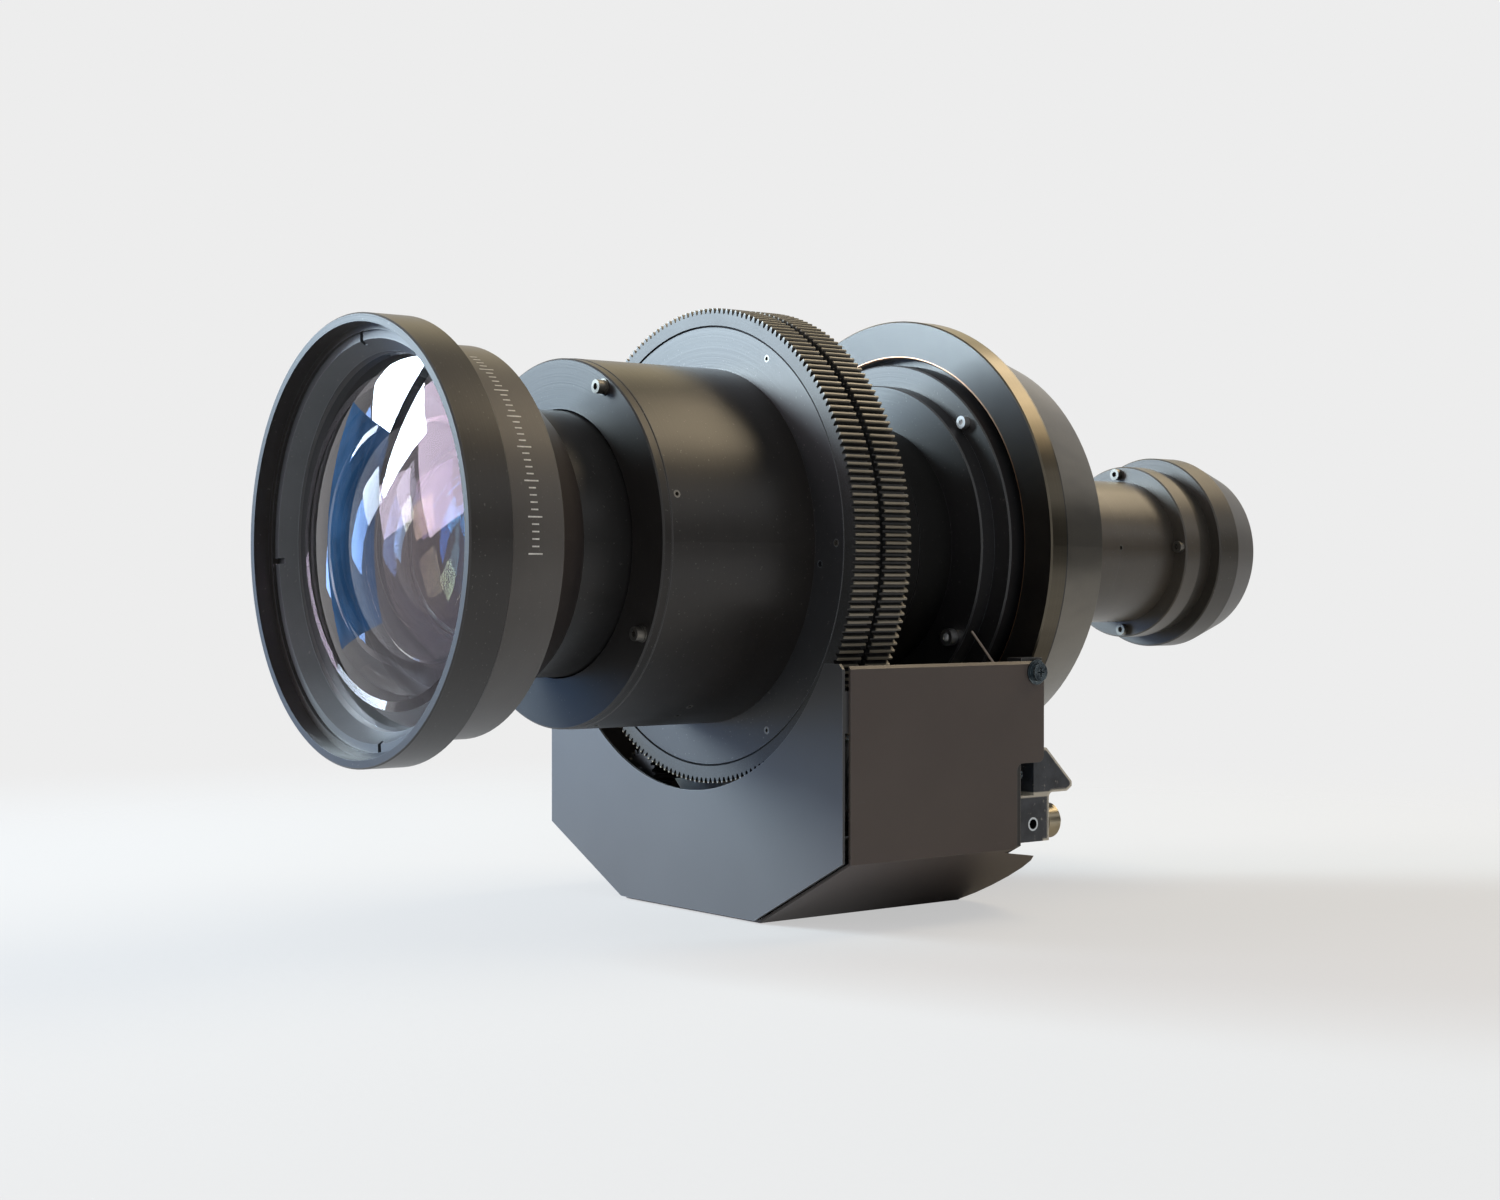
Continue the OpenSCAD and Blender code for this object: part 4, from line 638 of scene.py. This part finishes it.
lamps = [
    # name, place in metres, aimed at, width, height, watts, colour
    ("window_left", (-2.161, -1.850, 1.030), (0.0, -0.1, 0.0), 0.80, 1.18, 180, (0.74, 0.91, 1.0)),
    ("window_front", (-1.221, -2.660, 0.977), (0.0, -0.1, 0.0), 1.30, 1.5, 52, (0.97, 0.88, 1.0)),
    ("blue_wall", (-2.495, -1.470, 0.152), (0.0, -0.1, 0.0), 1.29, 0.92, 28, (0.26, 0.50, 1.0)),
    ("warm_back", (0.15, 0.95, 1.15), (0.0, 0.0, 0.0), 1.1, 0.6, 14, (1.0, 0.82, 0.56)),
]


# Dark cards that only reflections see, as painted dark reflections: a curved one behind the lens, a flat one
# above it with a painted warm glow on its left
card = {
    "radius": 1.75,
    "from": 4.0,            # degrees from +Y towards +X
    "to": 80.0,
    "bottom": -0.153,
    "top": 0.42,
    "steps": 12,
    "ceilingZ": 1.3,
    "ceilingRight": 1.6,
    "ceilingLeft": 2.1,
    "warmFrom": -900.0,     # the upper card glows warm on its left as a painted reflection of warm light, in millimetres
    "warmTo": -300.0,
    "warmGlow": (0.97, 0.82, 0.52),
    "warmStrength": 1.4,
    "ceilingFrom": 0.35,
    "ceilingTo": 2.3,
    "reflectedDark": (0.008, 0.007, 0.006),
    "reflectedLight": (0.10, 0.088, 0.07),
}


def onlyReflected(thing):
    thing.visible_camera = False
    thing.visible_diffuse = False
    thing.visible_transmission = False
    thing.visible_shadow = False


def makeCards():
    f = Finish("card_dark")
    p = f.place()
    felt = f.noise(p["spot"], 200.0, 2.0)
    hanging = f.vector(p["x"] * 0.001, p["y"] * 0.001, p["z"] * 0.004)
    folds = f.noise(hanging, 4.0, 3.0, 0.6).rise(0.45, 0.7)
    # Painted reflection: the card glows warm towards its left, though it is no lamp
    warm = f.mix(p["x"].rise(card["warmFrom"], card["warmTo"]), card["warmGlow"], (0.0, 0.0, 0.0))
    f.shade(f.mix(folds, card["reflectedDark"], card["reflectedLight"]), 0.9, felt,
            Emission_Color=warm, Emission_Strength=card["warmStrength"])
    verts = []
    for i in range(card["steps"] + 1):
        turn = math.radians(card["from"] + (card["to"] - card["from"]) * i / card["steps"])
        x, y = card["radius"] * math.sin(turn), card["radius"] * math.cos(turn)
        verts += [(x, y, card["bottom"]), (x, y, card["top"])]
    faces = [[2 * i, 2 * i + 2, 2 * i + 3, 2 * i + 1] for i in range(card["steps"])]
    left, right, high = -card["ceilingLeft"], card["ceilingRight"], card["ceilingZ"]
    above = [(left, card["ceilingFrom"], high), (left, card["ceilingTo"], high),
             (right, card["ceilingTo"], high), (right, card["ceilingFrom"], high)]
    for thing in (addMesh("card_back", verts, faces, f.material),
                  addMesh("card_above", above, [[0, 1, 2, 3]], f.material)):
        onlyReflected(thing)


# Panes in front of the lamps that only reflections see, as painted reflections: a dark bar and a deep blue
# wall that glows though it is no lamp
pane = {
    "share": 0.95,          # of the way from the lamp's aim to the lamp
    "barBottom": 0.02,      # metres to the right of the lamp's middle
    "barTop": 0.28,
    "barHalf": 0.085,
    "barReach": 0.75,
    "wallHalf": 0.55,
    "wallReach": 0.68,
    "blueDark": (0.05, 0.18, 0.42),
    "blueLight": (0.10, 0.32, 0.72),
    "blueStrength": 2.0,
    "barDark": (0.008, 0.008, 0.010),
    "barLight": (0.03, 0.03, 0.035),
}


def makePanes():
    bar = Finish("pane_bar")
    cloth = bar.noise(bar.place()["spot"], 6.0, 3.0)
    bar.shade(bar.mix(cloth, pane["barDark"], pane["barLight"]), 0.8 + cloth * 0.1)
    wall = Finish("pane_wall")
    cloud = wall.noise(wall.place()["spot"], 2.5, 3.0)
    # Painted reflection: the blue wall pane glows
    wall.shade((0.01, 0.01, 0.01), 0.8 + cloud * 0.1,
               Emission_Color=wall.mix(cloud.rise(0.35, 0.65), pane["blueDark"], pane["blueLight"]),
               Emission_Strength=pane["blueStrength"])
    lampsByName = {lamp[0]: (Vector(lamp[1]), Vector(lamp[2])) for lamp in lamps}
    panes = (
        # name, lamp, shift of its bottom and of its top, half width, half height, finish
        ("pane_bar", "window_left", pane["barBottom"], pane["barTop"], pane["barHalf"], pane["barReach"],
         bar),
        ("pane_wall", "blue_wall", 0.0, 0.0, pane["wallHalf"], pane["wallReach"], wall),
    )
    for name, lamp, low, high, half, reach, finish in panes:
        place, aim = lampsByName[lamp]
        away = place - aim
        right = Vector((-away.y, away.x, 0.0)).normalized()
        up = away.cross(right).normalized()
        middle = aim + away * pane["share"]
        corners = [(low - half, -reach), (low + half, -reach), (high + half, reach), (high - half, reach)]
        verts = [tuple(middle + right * u + up * v) for u, v in corners]
        onlyReflected(addMesh(name, verts, [[0, 1, 2, 3]], finish.material))


def makeLamps():
    for name, place, aim, width, height, watts, colour in lamps:
        data = bpy.data.lights.new(name, "AREA")
        data.shape = "RECTANGLE"
        data.size = width
        data.size_y = height
        data.energy = watts
        data.color = colour
        lamp = bpy.data.objects.new(name, data)
        lamp.location = place
        lamp.rotation_mode = "QUATERNION"
        lamp.rotation_quaternion = (Vector(aim) - Vector(place)).to_track_quat("-Z", "Z")
        lamp.visible_camera = False
        bpy.context.scene.collection.objects.link(lamp)


def makeCamera():
    data = bpy.data.cameras.new("camera")
    data.sensor_width = studio["sensor"]
    data.lens = studio["lens"]
    data.clip_start = studio["nearest"]
    data.clip_end = studio["farthest"]
    camera = bpy.data.objects.new("camera", data)
    turn, tilt = math.radians(studio["azimuth"]), math.radians(studio["pitch"])
    ahead = Vector((-math.sin(turn) * math.cos(tilt), math.cos(turn) * math.cos(tilt), math.sin(tilt)))
    camera.location = studio["cameraAt"]
    camera.rotation_mode = "QUATERNION"
    camera.rotation_quaternion = ahead.to_track_quat("-Z", "Y")
    bpy.context.scene.collection.objects.link(camera)
    bpy.context.scene.camera = camera


makeFloor()
makeWorld()
makeLamps()
makeCards()
makePanes()
makeCamera()
bpy.context.scene.view_settings.view_transform = "Standard"
